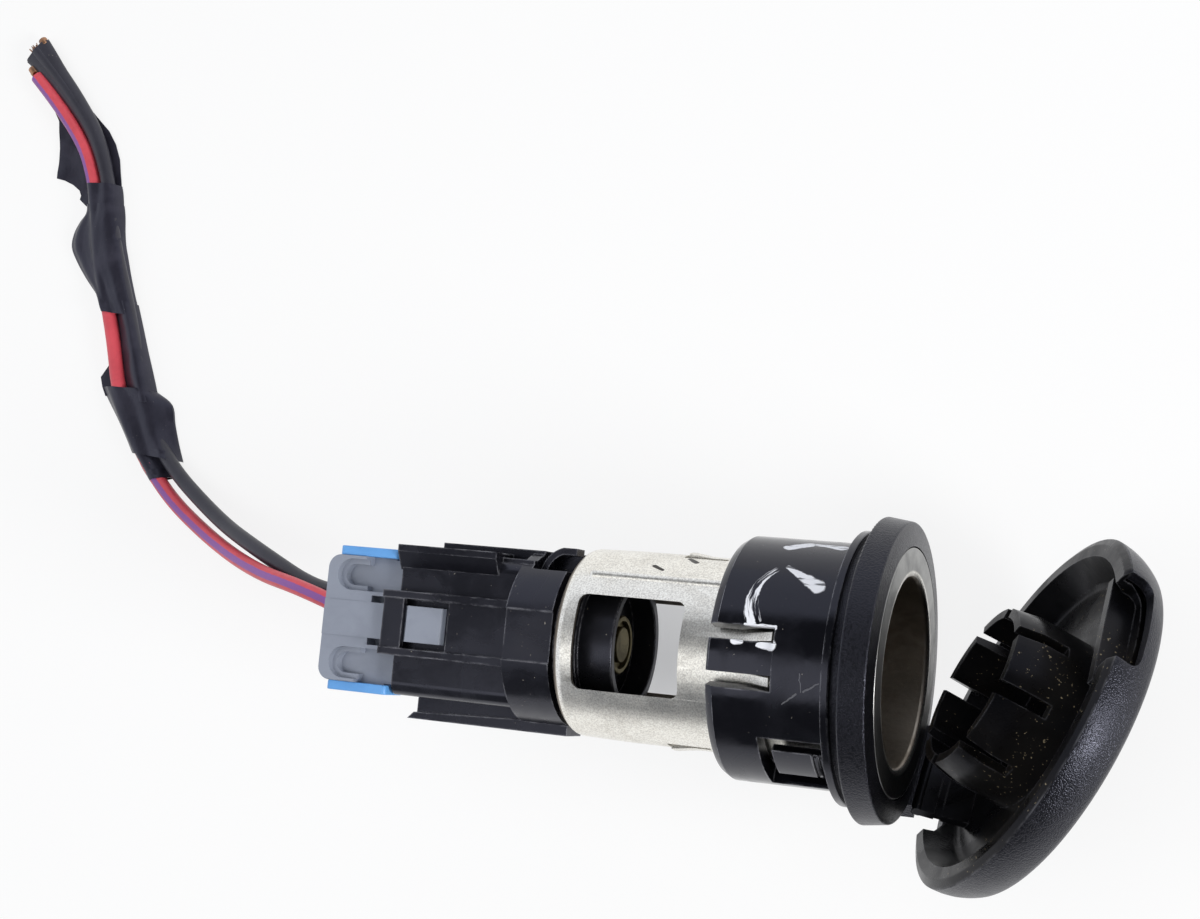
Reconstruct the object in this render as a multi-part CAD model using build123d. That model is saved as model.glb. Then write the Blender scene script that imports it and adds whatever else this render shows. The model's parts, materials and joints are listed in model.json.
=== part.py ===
"""Car 12 V power socket with a hinged cap, its connector and a cut-off pigtail.

Frame: X runs along the socket axis and out of its mouth, X = 0 is the face of the panel
that the flange sits on, +Z is the side of the connector's latch. Millimetres.
Round outlines are lists of (x, radius) points. Angles about the axis run from +Z towards -Y.
"""
import os
from math import asin, atan2, degrees, radians, tan

from build123d import *

# Socket shell: drawn steel tube with a rolled lip
BORE_D = 21.0
SHELL_WALL = 0.5
SHELL_L = 38.1
LIP_D = 27.7
LIP_EDGE = 0.2
MOUTH_FLARE = 0.6
REAR_ROUND = 1.4
REAR_TAPER = 0.15
REAR_HOLE_D = 10.8
WINDOW_L = 12.65
WINDOW_W = 10.66
WINDOW_ROUND = 1.0
WINDOW_FROM_REAR = 2.6
BEAD_R = 0.75
BEAD_SINK = 0.38
BEAD_L = 17.0
BEAD_FROM_REAR = 3.3
BEAD_ANGLE = -45.3
LANCE_L = 5.2
LANCE_FROM_REAR = 12.2
LANCE_OPENING_HALF = 17.0
LANCE_HALF = 13.0
LANCE_BEND_L = 2.6
LANCE_KICK = 0.35
LANCE_GAP = 0.4
STRIP_L = 4.4
STRIP_FROM_REAR = 21.8
STRIP_RISE = 1.9
STRIP_HALF = 2.2

# Mounting sleeve: moulded, flange in front of the panel
FLANGE_D = 30.6
FLANGE_T = 0.9
SLEEVE_CLEARANCE = 0.7
SLEEVE_WALL = 2.1
SLEEVE_L = 13.3
SLEEVE_CHAMFER_L = 0.9
SLEEVE_CHAMFER_R = 0.55
SLOT_L = 7.4
SLOT_ANGLE = 11.0
SLOT_HALF = 3.4
TAB_RECESS = 0.4
SIDE_WINDOW_ANGLE = 57.0
SIDE_WINDOW_HALF = 19.5
SIDE_WINDOW_L = 7.3
SIDE_WINDOW_FROM_FLANGE = 0.3
TONGUE_L = 6.4
TONGUE_HALF = 10.0
TONGUE_T = 1.0
TONGUE_DROP = 0.55
RATCHET_PITCH = 0.7
RATCHET_COUNT = 3

# Bezel ring
SPIGOT_D = 29.2
SPIGOT_L = 1.3
BEZEL_REAR_D = 34.1
BEZEL_FRONT_D = 33.3
BEZEL_SIDE_L = 2.95
BEZEL_RISE = 0.3
BEZEL_EDGE = 0.25
LIP_RECESS = 0.45
BEZEL_SHELL_CLEARANCE = 0.15
LIP_CLEARANCE = 0.12

# Cap hinge
HINGE_CLOCK = -42.0
CAP_OPEN = 35.7
HINGE_RADIUS = 16.4
HINGE_AHEAD = 0.67
PIN_R = 0.6
PIN_PLAY = 0.1
PIN_SHOW = 0.5
HINGE_W = 12.0
LUG_H = 2.2
STRAP_T = 1.0
STRAP_TILT = 21.7
STRAP_L = 6.1
FOLD_FROM_PIN = 2.3
FOLD_W = 0.8
FOLD_DEPTH = 0.25

# Cap, sizes taken with the cap shut
RIM_D = 43.0
SEAM_AHEAD = 2.97
RIM_DROP = 0.5
RIM_BAND = 1.9
BOWL_D = 38.2
BOWL_FLOOR_D = 34.6
BOWL_DEPTH = 3.45
LINER_T = 1.0
COVER_EDGE_L = 5.34
COVER_EDGE_R = 3.16
COVER_NOSE_R = 2.2
COVER_CROWN = 1.4
COVER_WALL = 1.2
CROWN_D = 19.4
CROWN_ROOT_D = 20.2
CROWN_WALL = 1.3
CROWN_REACH = 3.1
FINGERS = 8
FINGER_SLOT_W = 1.55
FINGER_SLOT_L = 5.8
FINGER_CLOCK = 35.0
LIFT_HALF = 6.0
LIFT_CUT = 2.85
LIFT_ROUND = 1.4
LIFT_WALL_T = 1.0
LIFT_WALL_Z = 17.4
LIFT_WALL_HALF = 7.3
NOTCH_HALF = 6.4
NOTCH_CUT = 2.2

# Contact carrier and centre contact
CARRIER_BASE_D = 17.2
CARRIER_BASE_T = 1.6
CUP_D = 15.5
CUP_WALL = 1.1
CUP_L = 5.7
CUP_TO_TAPER = 0.3
CUP_FLOOR_T = 2.8
SPIGOT_CLEARANCE = 0.2
SPIGOT_OUT = 0.8
CONTACT_D = 6.8
CONTACT_T = 0.6
RIVET_D = 2.4
RIVET_HEAD_D = 4.2
RIVET_HEAD_T = 0.7
RIVET_CLEARANCE = 0.05

# Blades, terminals and leads
BLADE_W = 2.8
BLADE_T = 0.8
BLADE_Z = -5.0
BLADE_L = 14.6
BLADE_CLEARANCE = 0.15
FOOT_TOP = 2.4
GROUND_FOOT_L = 2.6
PITCH = 4.6
TERMINAL_W = 3.5
TERMINAL_H = 2.4
TERMINAL_L = 8.0
TERMINAL_FROM_FRONT = 2.5
TERMINAL_NECK = 1.2
CRIMP_L = 4.5
CRIMP_WALL = 0.3
WIRE_D = 2.1
CORE_D = 1.3
CORE_OUT = 1.2

# Connector housing
HOUSING_GAP = 0.6
HOUSING_BOSS_D = 17.2
HOUSING_BOSS_BORE_D = 13.2
COLLAR_D = 20.0
COLLAR_L = 5.8
COLLAR_FLAT = 0.7
BODY_L = 15.0
BODY_WALL = 0.75
BODY_ROUND = 1.6
FRONT_POCKET_L = 2.0
CAVITY_L = 13.0
RAIL_GAP = 5.8
RAIL_T = 0.85
RAIL_TOP = 8.4
RAIL_RISE = 0.45
RAIL_OVERHANG = 1.1
STRAP_BAND_L = 2.6
LATCH_WINDOW_L = 5.7
LATCH_ROOF_T = 0.8
GUARD_IN = 6.3
GUARD_OUT = 9.2
GUARD_T = 0.8
GUARD_TOP = 7.8
GUARD_FOOT = -0.4
GUARD_OVERHANG = 0.3
GUARD_L = 17.3
GUARD_STEP = 2.0
GUARD_STEP_IN = 0.5
GUARD_STEP_L = 4.6
GUARD_RAIL_T = 0.8
GUARD_RAIL_H = 3.0
GUARD_RAIL_L = 13.7
FIN_OUT = 11.15
FIN_ROOT = 9.8
FIN_T = 1.0
FIN_L = 20.7
FIN_LIP_T = 0.8
FIN_FOOT = -3.4
FIN_FROM_FRONT = 0.3
ARCH_W = 2.3
ARCH_T = 0.8
ARCH_Z = 4.0
ARCH_FOOT = 7.7
ARCH_TOP = 10.5
ARCH_HEEL = 4.4
ARCH_BEND = 1.7
ARCH_NOTCH = 0.5

# Mating plug
PLUG_W = 14.9
PLUG_TOP = 6.0
PLUG_BOTTOM = -7.5
PLUG_OUT = 9.4
PLUG_HEAD = 1.4
PLUG_CLEARANCE = 0.2
PLUG_CORNER = 1.6
POCKET_W = 3.7
POCKET_DEPTH = 2.2
POCKET_FROM_END = 1.3
POCKET_FROM_SIDE = 0.4
POCKET_LEDGE_W = 0.6
POCKET_LEDGE_DEPTH = 1.0
POCKET_MOUTH = 3.6
LATCH_W = 4.2
LATCH_CLEARANCE = 0.1
LATCH_STEP = 0.5
LATCH_SLIT_W = 0.8
LATCH_SLIT_L = 1.7
CAVITY_WALL_GAP = 0.15
CLIP_T = 1.1
CLIP_H = 4.8
CLIP_Z = 4.6
CLIP_L = 7.8
CLIP_FROM_END = 1.1
CLIP_TENON = 1.2
CLIP_ROUND = 0.5

# Tape wraps
TAPE_H = 3.0
TAPE_W = 7.4
FLAG_T = 0.35

# Leads, as they lie: out of the plug, down to the floor and along it
BEND_SHARE = 0.45
RED_ROUTE = [
    (-54.5, 0.0, -5.0),
    (-64.0, 0.0, -5.0),
    (-74.2, 3.2, -5.6),
    (-84.3, 4.8, -11.2),
    (-96.3, 9.3, -18.8),
    (-107.3, 16.0, -22.1),
    (-116.0, 26.7, -22.1),
    (-118.9, 37.1, -22.1),
    (-122.4, 47.4, -22.1),
    (-124.2, 57.8, -22.1),
    (-129.4, 67.1, -22.1),
    (-137.5, 75.3, -22.1),
]
BLACK_ROUTE = [
    (-54.5, 4.6, -5.0),
    (-64.0, 4.6, -5.0),
    (-74.9, 5.5, -6.6),
    (-85.7, 9.8, -11.8),
    (-96.5, 13.8, -18.8),
    (-107.2, 19.5, -22.1),
    (-112.3, 28.1, -22.1),
    (-115.9, 39.2, -22.1),
    (-120.6, 50.7, -22.1),
    (-121.9, 62.6, -22.1),
    (-127.4, 70.6, -22.1),
    (-136.3, 79.6, -22.1),
]
TAPE_LOWER = ((-106.4, 17.1), (-114.0, 29.6))
TAPE_MIDDLE = ((-117.8, 40.4), (-122.6, 54.4))
TAPE_UPPER = ((-123.0, 57.0), (-124.8, 63.0))
FLAG_OUTLINE = [(-124.0, 57.4), (-127.7, 58.2), (-131.4, 59.6), (-131.3, 62.6), (-132.6, 68.9), (-124.4, 64.6)]

# How far a cutting shape runs past the face it cuts
OVERCUT = 1.0

# Stations and radii worked out from the sizes above
BORE_R = BORE_D / 2
SHELL_R = BORE_R + SHELL_WALL
LIP_R = LIP_D / 2
BEZEL_REAR_X = FLANGE_T + SPIGOT_L
BEZEL_CREASE_X = BEZEL_REAR_X + BEZEL_SIDE_L
BEZEL_FACE_X = BEZEL_CREASE_X + BEZEL_RISE
LIP_SEAT_X = BEZEL_FACE_X - LIP_RECESS
MOUTH_X = LIP_SEAT_X + SHELL_WALL
REAR_X = MOUTH_X - SHELL_L
FLOOR_X = REAR_X + SHELL_WALL

SLEEVE_BORE_R = SHELL_R + SLEEVE_CLEARANCE
SLEEVE_R = SLEEVE_BORE_R + SLEEVE_WALL
SLEEVE_REAR_X = -SLEEVE_L

HINGE_X = MOUTH_X + HINGE_AHEAD
SEAM_X = MOUTH_X + SEAM_AHEAD
RIM_R = RIM_D / 2
RIM_X = SEAM_X - RIM_DROP
BOWL_R = BOWL_D / 2
BOWL_FLOOR_X = RIM_X + BOWL_DEPTH
LINER_BACK_X = BOWL_FLOOR_X + LINER_T
CROWN_TIP_X = MOUTH_X - CROWN_REACH

CARRIER_REAR_X = REAR_X - SPIGOT_OUT
CUP_FLOOR_X = FLOOR_X + CUP_FLOOR_T
CUP_RIM_X = FLOOR_X + CUP_L
RIVET_R = RIVET_D / 2
TAPER_X = CUP_RIM_X + CUP_TO_TAPER

COLLAR_X = REAR_X - HOUSING_GAP
COLLAR_REAR_X = COLLAR_X - COLLAR_L
BODY_REAR_X = COLLAR_REAR_X - BODY_L
CAVITY_X = BODY_REAR_X + CAVITY_L
CAVITY_HALF = PLUG_W / 2 + PLUG_CLEARANCE
CAVITY_TOP = PLUG_TOP + PLUG_CLEARANCE
CAVITY_BOTTOM = PLUG_BOTTOM - PLUG_CLEARANCE
BODY_HALF = CAVITY_HALF + BODY_WALL
BODY_TOP = CAVITY_TOP + BODY_WALL / 2
BODY_BOTTOM = CAVITY_BOTTOM - BODY_WALL
RAIL_REAR_X = BODY_REAR_X - RAIL_OVERHANG
LATCH_WINDOW_REAR_X = RAIL_REAR_X + STRAP_BAND_L
LATCH_WINDOW_X = LATCH_WINDOW_REAR_X + LATCH_WINDOW_L
RAIL_IN = RAIL_GAP / 2
RAIL_OUT = RAIL_IN + RAIL_T
LATCH_ROOF = RAIL_TOP - LATCH_ROOF_T
HEAD_TOP = PLUG_TOP + PLUG_HEAD
HEAD_X = RAIL_REAR_X - LATCH_STEP
POCKET_FLOOR = HEAD_TOP - POCKET_DEPTH
PLUG_END_X = BODY_REAR_X - PLUG_OUT
TERMINAL_X = CAVITY_X - TERMINAL_FROM_FRONT
TERMINAL_REAR_X = TERMINAL_X - TERMINAL_L
CRIMP_X = TERMINAL_REAR_X - TERMINAL_NECK
WIRE_R = WIRE_D / 2
BLADE_LOW = BLADE_Z - BLADE_T / 2
BLADE_HIGH = BLADE_Z + BLADE_T / 2
TAPE_Z = RED_ROUTE[-1][2]


# General shapes
def outline(points):
    """Closed flat outline in the XY plane."""
    return make_face(Polyline(*points, close=True)).face()


def turned(points, rounds=()):
    """Turn a closed (x, radius) outline about the socket axis, with some corners rounded."""
    face = outline(points)
    for index, radius in rounds:
        corner = face.vertices().sort_by_distance(Vector(*points[index]))[0]
        face = face.fillet_2d(radius, [corner])
    return revolve(face, Axis.X)


def sector(points, middle, half):
    """Turn an (x, radius) outline through part of a circle about the angle middle."""
    return Rot(middle - half + 90, 0, 0) * revolve(outline(points), Axis.X, 2 * half)


def band(x_from, x_to, r_from, r_to):
    """Rectangular (x, radius) outline."""
    return [(x_from, r_from), (x_to, r_from), (x_to, r_to), (x_from, r_to)]


def block(x_from, x_to, y_from, y_to, z_from, z_to):
    """Box between two values on each axis."""
    middle = Pos((x_from + x_to) / 2, (y_from + y_to) / 2, (z_from + z_to) / 2)
    return middle * Box(abs(x_to - x_from), abs(y_to - y_from), abs(z_to - z_from))


def rod(radius, x_from, x_to, y=0, z=0):
    """Round bar along X."""
    return Pos((x_from + x_to) / 2, y, z) * Rot(0, 90, 0) * Cylinder(radius, abs(x_to - x_from))


def bar(x_from, x_to, width, z_from, z_to, corner):
    """Bar along X with a rounded rectangular section."""
    section = Pos(0, (z_from + z_to) / 2) * RectangleRounded(width, z_to - z_from, corner)
    return extrude(Plane.YZ.offset(min(x_from, x_to)) * section, abs(x_to - x_from))


def profile_bar(points, x_from, x_to):
    """Bar along X with a (y, z) outline."""
    return extrude(Plane.YZ.offset(x_from) * outline(points), x_to - x_from)


def side_plate(points, y_from, y_to):
    """Plate with an (x, z) outline, standing between two values of y."""
    face = Plane.XZ.offset(-y_from) * outline(points)
    return extrude(face, y_to - y_from, dir=(0, 1, 0))


# Socket shell
def make_socket_shell():
    shell = turned(
        [
            (MOUTH_X, BORE_R),
            (MOUTH_X, LIP_R),
            (LIP_SEAT_X, LIP_R),
            (LIP_SEAT_X, SHELL_R),
            (TAPER_X, SHELL_R),
            (REAR_X, SHELL_R - REAR_TAPER),
            (REAR_X, REAR_HOLE_D / 2),
            (FLOOR_X, REAR_HOLE_D / 2),
            (FLOOR_X, BORE_R - REAR_TAPER),
            (TAPER_X, BORE_R),
        ],
        rounds=[
            (0, MOUTH_FLARE),
            (1, LIP_EDGE),
            (2, LIP_EDGE),
            (5, REAR_ROUND),
            (8, REAR_ROUND - SHELL_WALL),
        ],
    )
    window = extrude(RectangleRounded(WINDOW_L, WINDOW_W, WINDOW_ROUND), 2 * SHELL_R, both=True)
    shell -= Pos(REAR_X + WINDOW_FROM_REAR + WINDOW_L / 2, 0, 0) * window
    shell += shell_bead()
    lance_rear = REAR_X + LANCE_FROM_REAR
    lance_front = lance_rear + LANCE_L
    for side in (-90, 90):
        opening = band(lance_rear, lance_front, BORE_R - OVERCUT, SHELL_R + OVERCUT)
        shell -= sector(opening, side, LANCE_OPENING_HALF)
        shell += sector(lance_outline(lance_rear + LANCE_GAP, lance_front), side, LANCE_HALF)
    strip_rear = REAR_X + STRIP_FROM_REAR
    for middle in (0, 180):
        for side in (-SLOT_ANGLE, SLOT_ANGLE):
            shell += sector(strip_outline(strip_rear), middle + side, STRIP_HALF)
    return shell


def shell_bead():
    """Pressed bead along the shell, between the window and the side lance."""
    start = REAR_X + BEAD_FROM_REAR
    height = SHELL_R - BEAD_SINK
    bead = rod(BEAD_R, start, start + BEAD_L, z=height)
    for end in (start, start + BEAD_L):
        bead += Pos(end, 0, height) * Sphere(BEAD_R)
    bead -= rod(SHELL_R - SHELL_WALL / 2, start - BEAD_L, start + 2 * BEAD_L)
    return Rot(BEAD_ANGLE, 0, 0) * bead


def lance_outline(rear, front):
    """Spring tongue cut in the shell, its free end kicked outwards."""
    bend = rear + LANCE_BEND_L
    root = front + LANCE_GAP
    return [
        (root, BORE_R),
        (root, SHELL_R),
        (bend, SHELL_R),
        (rear, SHELL_R + LANCE_KICK),
        (rear, BORE_R + LANCE_KICK),
        (bend, BORE_R),
    ]


def strip_outline(rear):
    """Thin strip raised from the shell into a slot of the sleeve."""
    root = SHELL_R - SHELL_WALL / 2
    front = rear + STRIP_L
    tip = SHELL_R + STRIP_RISE
    return [(rear, root), (rear + SHELL_WALL, root), (front, tip - SHELL_WALL), (front, tip)]


# Mounting sleeve
def make_mounting_sleeve():
    sleeve = turned(
        [
            (FLANGE_T, SLEEVE_BORE_R),
            (FLANGE_T, FLANGE_D / 2),
            (0, FLANGE_D / 2),
            (0, SLEEVE_R),
            (SLEEVE_REAR_X + SLEEVE_CHAMFER_L, SLEEVE_R),
            (SLEEVE_REAR_X, SLEEVE_R - SLEEVE_CHAMFER_R),
            (SLEEVE_REAR_X, SLEEVE_BORE_R),
        ],
        rounds=[(1, LIP_EDGE)],
    )
    slot_front = SLEEVE_REAR_X + SLOT_L
    for middle in (0, 180):
        for side in (-SLOT_ANGLE, SLOT_ANGLE):
            slot = band(SLEEVE_REAR_X - OVERCUT, slot_front, SLEEVE_BORE_R - OVERCUT, SLEEVE_R + OVERCUT)
            sleeve -= sector(slot, middle + side, SLOT_HALF)
        recess = band(SLEEVE_REAR_X - OVERCUT, slot_front, SLEEVE_R - TAB_RECESS, SLEEVE_R + OVERCUT)
        sleeve -= sector(recess, middle, SLOT_ANGLE)
        sleeve -= side_window(middle + SIDE_WINDOW_ANGLE)
        sleeve += side_tongue(middle + SIDE_WINDOW_ANGLE)
    return sleeve


def side_window(middle):
    """Opening in the sleeve's wall around a panel tongue."""
    front = -SIDE_WINDOW_FROM_FLANGE
    window = band(front - SIDE_WINDOW_L, front, SLEEVE_BORE_R - OVERCUT, SLEEVE_R + OVERCUT)
    return sector(window, middle, SIDE_WINDOW_HALF)


def side_tongue(middle):
    """Tongue that grips the panel, with ratchet ribs by the flange."""
    top = SLEEVE_R - TONGUE_DROP
    tongue = sector(band(-TONGUE_L, FLANGE_T / 2, top - TONGUE_T, top), middle, TONGUE_HALF)
    for index in range(RATCHET_COUNT):
        x = -SIDE_WINDOW_FROM_FLANGE - index * RATCHET_PITCH
        rib = [(x, top - TONGUE_T / 2), (x - RATCHET_PITCH, top - TONGUE_T / 2), (x, SLEEVE_R - LIP_EDGE / 2)]
        tongue += sector(rib, middle, TONGUE_HALF)
    return tongue


# Bezel ring with its hinge lug
def make_bezel_ring():
    bore = SHELL_R + BEZEL_SHELL_CLEARANCE
    recess = LIP_R + LIP_CLEARANCE
    ring = turned(
        [
            (FLANGE_T, bore),
            (FLANGE_T, SPIGOT_D / 2),
            (BEZEL_REAR_X, SPIGOT_D / 2),
            (BEZEL_REAR_X, BEZEL_REAR_D / 2),
            (BEZEL_CREASE_X, BEZEL_FRONT_D / 2),
            (BEZEL_FACE_X, recess),
            (LIP_SEAT_X, recess),
            (LIP_SEAT_X, bore),
        ],
        rounds=[(3, BEZEL_EDGE), (4, BEZEL_EDGE)],
    )
    lug = block(
        BEZEL_CREASE_X - BEZEL_SIDE_L / 2,
        HINGE_X - PIN_SHOW,
        -HINGE_W / 2,
        HINGE_W / 2,
        -HINGE_RADIUS - LUG_H / 2,
        -HINGE_RADIUS + LUG_H / 2,
    )
    ring += lug
    ring -= hinge_pin(PIN_R + PIN_PLAY, HINGE_W + 2 * OVERCUT)
    return Rot(HINGE_CLOCK, 0, 0) * ring


def hinge_pin(radius, length):
    """Round bar on the hinge axis, hinge straight below the socket axis."""
    return Pos(HINGE_X, 0, -HINGE_RADIUS) * Rot(90, 0, 0) * Cylinder(radius, length)


# Cap: modelled shut with its hinge straight down, then opened and clocked
def opened(shape):
    """Swing a shut cap piece to its rest opening and clock its hinge."""
    to_pin = Pos(HINGE_X, 0, -HINGE_RADIUS)
    from_pin = Pos(-HINGE_X, 0, HINGE_RADIUS)
    return Rot(HINGE_CLOCK, 0, 0) * to_pin * Rot(0, CAP_OPEN, 0) * from_pin * shape


def lift_cut(depth):
    """Finger scoop cut through the cap's edge, opposite the hinge."""
    height = 2 * (depth + LIFT_ROUND)
    shape = RectangleRounded(height, 2 * LIFT_HALF, LIFT_ROUND)
    start = Plane.XY.offset(LIFT_WALL_Z)
    return extrude(start * Pos(SEAM_X + depth - height / 2, 0) * shape, RIM_R)


def hinge_notch():
    """Gap in the cap's edge for the bezel and the strap."""
    top = -HINGE_RADIUS - STRAP_T
    return block(RIM_X - RIM_R, SEAM_X + NOTCH_CUT, -NOTCH_HALF, NOTCH_HALF, -2 * RIM_R, top)


def make_cap_cover():
    ridge_r = RIM_R - COVER_EDGE_R
    ridge_x = SEAM_X + COVER_EDGE_L
    apex = ridge_x + COVER_CROWN
    shoulder_r = ((COVER_EDGE_L - COVER_NOSE_R) ** 2 + COVER_EDGE_R**2 - COVER_NOSE_R**2) / (
        2 * (COVER_EDGE_R - COVER_NOSE_R)
    )
    shoulder = Vector(SEAM_X, RIM_R - shoulder_r)
    nose = Vector(ridge_x - COVER_NOSE_R, ridge_r)
    turn = degrees(atan2(nose.Y - shoulder.Y, nose.X - shoulder.X))
    dome_r = (ridge_r**2 + COVER_CROWN**2) / (2 * COVER_CROWN)
    dome_turn = degrees(asin(ridge_r / dome_r))
    lines = []
    for wall in (0, COVER_WALL):
        lines += [
            CenterArc(shoulder, shoulder_r - wall, turn, 90 - turn),
            CenterArc(nose, COVER_NOSE_R - wall, 0, turn),
            CenterArc((apex - wall - dome_r, 0), dome_r, 0, dome_turn),
        ]
    lines += [
        Line((apex, 0), (apex - COVER_WALL, 0)),
        Line((SEAM_X, RIM_R - COVER_WALL), (SEAM_X, RIM_R)),
    ]
    cover = revolve(make_face(lines), Axis.X)
    cover -= lift_cut(LIFT_CUT)
    cover -= hinge_notch()
    return opened(cover)


def make_cap_liner():
    skirt_r = RIM_R - COVER_WALL - 2 * LIP_EDGE
    skirt_x = SEAM_X + LINER_T
    floor_r = BOWL_FLOOR_D / 2
    dish = turned(
        [
            (BOWL_FLOOR_X, 0),
            (BOWL_FLOOR_X, floor_r),
            (RIM_X, BOWL_R),
            (RIM_X, RIM_R - RIM_BAND / 2),
            (SEAM_X, RIM_R),
            (SEAM_X, skirt_r),
            (skirt_x, skirt_r),
            (LINER_BACK_X, floor_r + LINER_T),
            (LINER_BACK_X, 0),
        ],
        rounds=[(1, LINER_T), (3, RIM_DROP)],
    )
    dish -= lift_cut(LIFT_CUT - LINER_T / 4)
    dish -= hinge_notch()
    liner = dish + lift_wall() + finger_crown() + hinge_strap()
    return opened(liner)


def lift_wall():
    """Wall between the bowl and the finger scoop."""
    wall = block(
        RIM_X,
        BOWL_FLOOR_X + LINER_T / 2,
        -LIFT_WALL_HALF,
        LIFT_WALL_HALF,
        LIFT_WALL_Z - LIFT_WALL_T,
        LIFT_WALL_Z,
    )
    return wall & rod(BOWL_R, RIM_X - OVERCUT, LINER_BACK_X)


def finger_crown():
    """Ring of spring fingers that grips the inside of the shell when the cap is shut."""
    tip_r = CROWN_D / 2
    root_r = CROWN_ROOT_D / 2
    crown = turned(
        [
            (CROWN_TIP_X, tip_r - CROWN_WALL),
            (CROWN_TIP_X, tip_r - LIP_EDGE),
            (CROWN_TIP_X + CROWN_REACH, root_r),
            (LINER_BACK_X - LINER_T / 2, root_r),
            (LINER_BACK_X - LINER_T / 2, root_r - CROWN_WALL),
        ]
    )
    for index in range(FINGERS):
        angle = FINGER_CLOCK + index * 360 / FINGERS
        slot = block(
            CROWN_TIP_X - OVERCUT,
            CROWN_TIP_X + FINGER_SLOT_L,
            -FINGER_SLOT_W / 2,
            FINGER_SLOT_W / 2,
            -root_r - CROWN_WALL,
            -tip_r + 2 * CROWN_WALL,
        )
        crown -= Rot(angle, 0, 0) * slot
    return crown


def hinge_strap():
    """Flat strap from the hinge pin to the bowl's floor, thinned across at its fold."""
    strap = block(0, STRAP_L, -HINGE_W / 2, HINGE_W / 2, -STRAP_T / 2, STRAP_T / 2)
    for side in (-1, 1):
        strap -= block(
            FOLD_FROM_PIN - FOLD_W / 2,
            FOLD_FROM_PIN + FOLD_W / 2,
            -HINGE_W,
            HINGE_W,
            side * (STRAP_T / 2 - FOLD_DEPTH),
            side * STRAP_T,
        )
    strap = Pos(HINGE_X, 0, -HINGE_RADIUS) * Rot(0, -STRAP_TILT, 0) * strap
    return strap + hinge_pin(PIN_R, HINGE_W)


# Insulated contact at the bottom of the shell
def make_contact_carrier():
    cup_r = CUP_D / 2
    carrier = turned(
        [
            (CARRIER_REAR_X, RIVET_R + RIVET_CLEARANCE),
            (CARRIER_REAR_X, REAR_HOLE_D / 2 - SPIGOT_CLEARANCE),
            (FLOOR_X, REAR_HOLE_D / 2 - SPIGOT_CLEARANCE),
            (FLOOR_X, CARRIER_BASE_D / 2),
            (FLOOR_X + CARRIER_BASE_T, CARRIER_BASE_D / 2),
            (FLOOR_X + CARRIER_BASE_T, cup_r),
            (CUP_RIM_X, cup_r),
            (CUP_RIM_X, cup_r - CUP_WALL),
            (CUP_FLOOR_X, cup_r - CUP_WALL),
            (CUP_FLOOR_X, RIVET_R + RIVET_CLEARANCE),
        ],
        rounds=[(6, LIP_EDGE), (7, LIP_EDGE)],
    )
    return carrier


def make_centre_contact():
    hole = RIVET_R + RIVET_CLEARANCE
    return turned(
        [
            (CUP_FLOOR_X, hole),
            (CUP_FLOOR_X, CONTACT_D / 2),
            (CUP_FLOOR_X + 2 * CONTACT_T, CONTACT_D / 2),
            (CUP_FLOOR_X + 2 * CONTACT_T, CONTACT_D / 2 - CONTACT_T),
            (CUP_FLOOR_X + CONTACT_T, CONTACT_D / 2 - CONTACT_T),
            (CUP_FLOOR_X + CONTACT_T, hole),
        ],
        rounds=[(2, LIP_EDGE)],
    )


def make_contact_rivet():
    front = CUP_FLOOR_X + CONTACT_T
    back = CARRIER_REAR_X - BLADE_T
    head_r = RIVET_HEAD_D / 2
    return turned(
        [
            (front + RIVET_HEAD_T, 0),
            (front + RIVET_HEAD_T, head_r),
            (front, head_r),
            (front, RIVET_R),
            (back, RIVET_R),
            (back, head_r),
            (back - RIVET_HEAD_T, head_r),
            (back - RIVET_HEAD_T, 0),
        ],
        rounds=[(1, LIP_EDGE), (6, LIP_EDGE)],
    )


# Blades of the connector
def make_positive_blade():
    end = CARRIER_REAR_X - BLADE_L
    back = CARRIER_REAR_X - BLADE_T
    bent = [
        (CARRIER_REAR_X, FOOT_TOP),
        (back, FOOT_TOP),
        (back, BLADE_HIGH),
        (end, BLADE_HIGH),
        (end, BLADE_LOW),
        (CARRIER_REAR_X, BLADE_LOW),
    ]
    blade = side_plate(bent, -BLADE_W / 2, BLADE_W / 2)
    foot = rod(FOOT_TOP, back, CARRIER_REAR_X)
    hole = rod(RIVET_R + RIVET_CLEARANCE, back - OVERCUT, CARRIER_REAR_X + OVERCUT)
    return blade + foot - hole


def make_ground_blade():
    end = CARRIER_REAR_X - BLADE_L
    back = REAR_X - BLADE_T
    bent = [
        (REAR_X, BLADE_HIGH),
        (end, BLADE_HIGH),
        (end, BLADE_LOW),
        (back, BLADE_LOW),
        (back, BLADE_LOW - GROUND_FOOT_L),
        (REAR_X, BLADE_LOW - GROUND_FOOT_L),
    ]
    return side_plate(bent, PITCH - BLADE_W / 2, PITCH + BLADE_W / 2)


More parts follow.
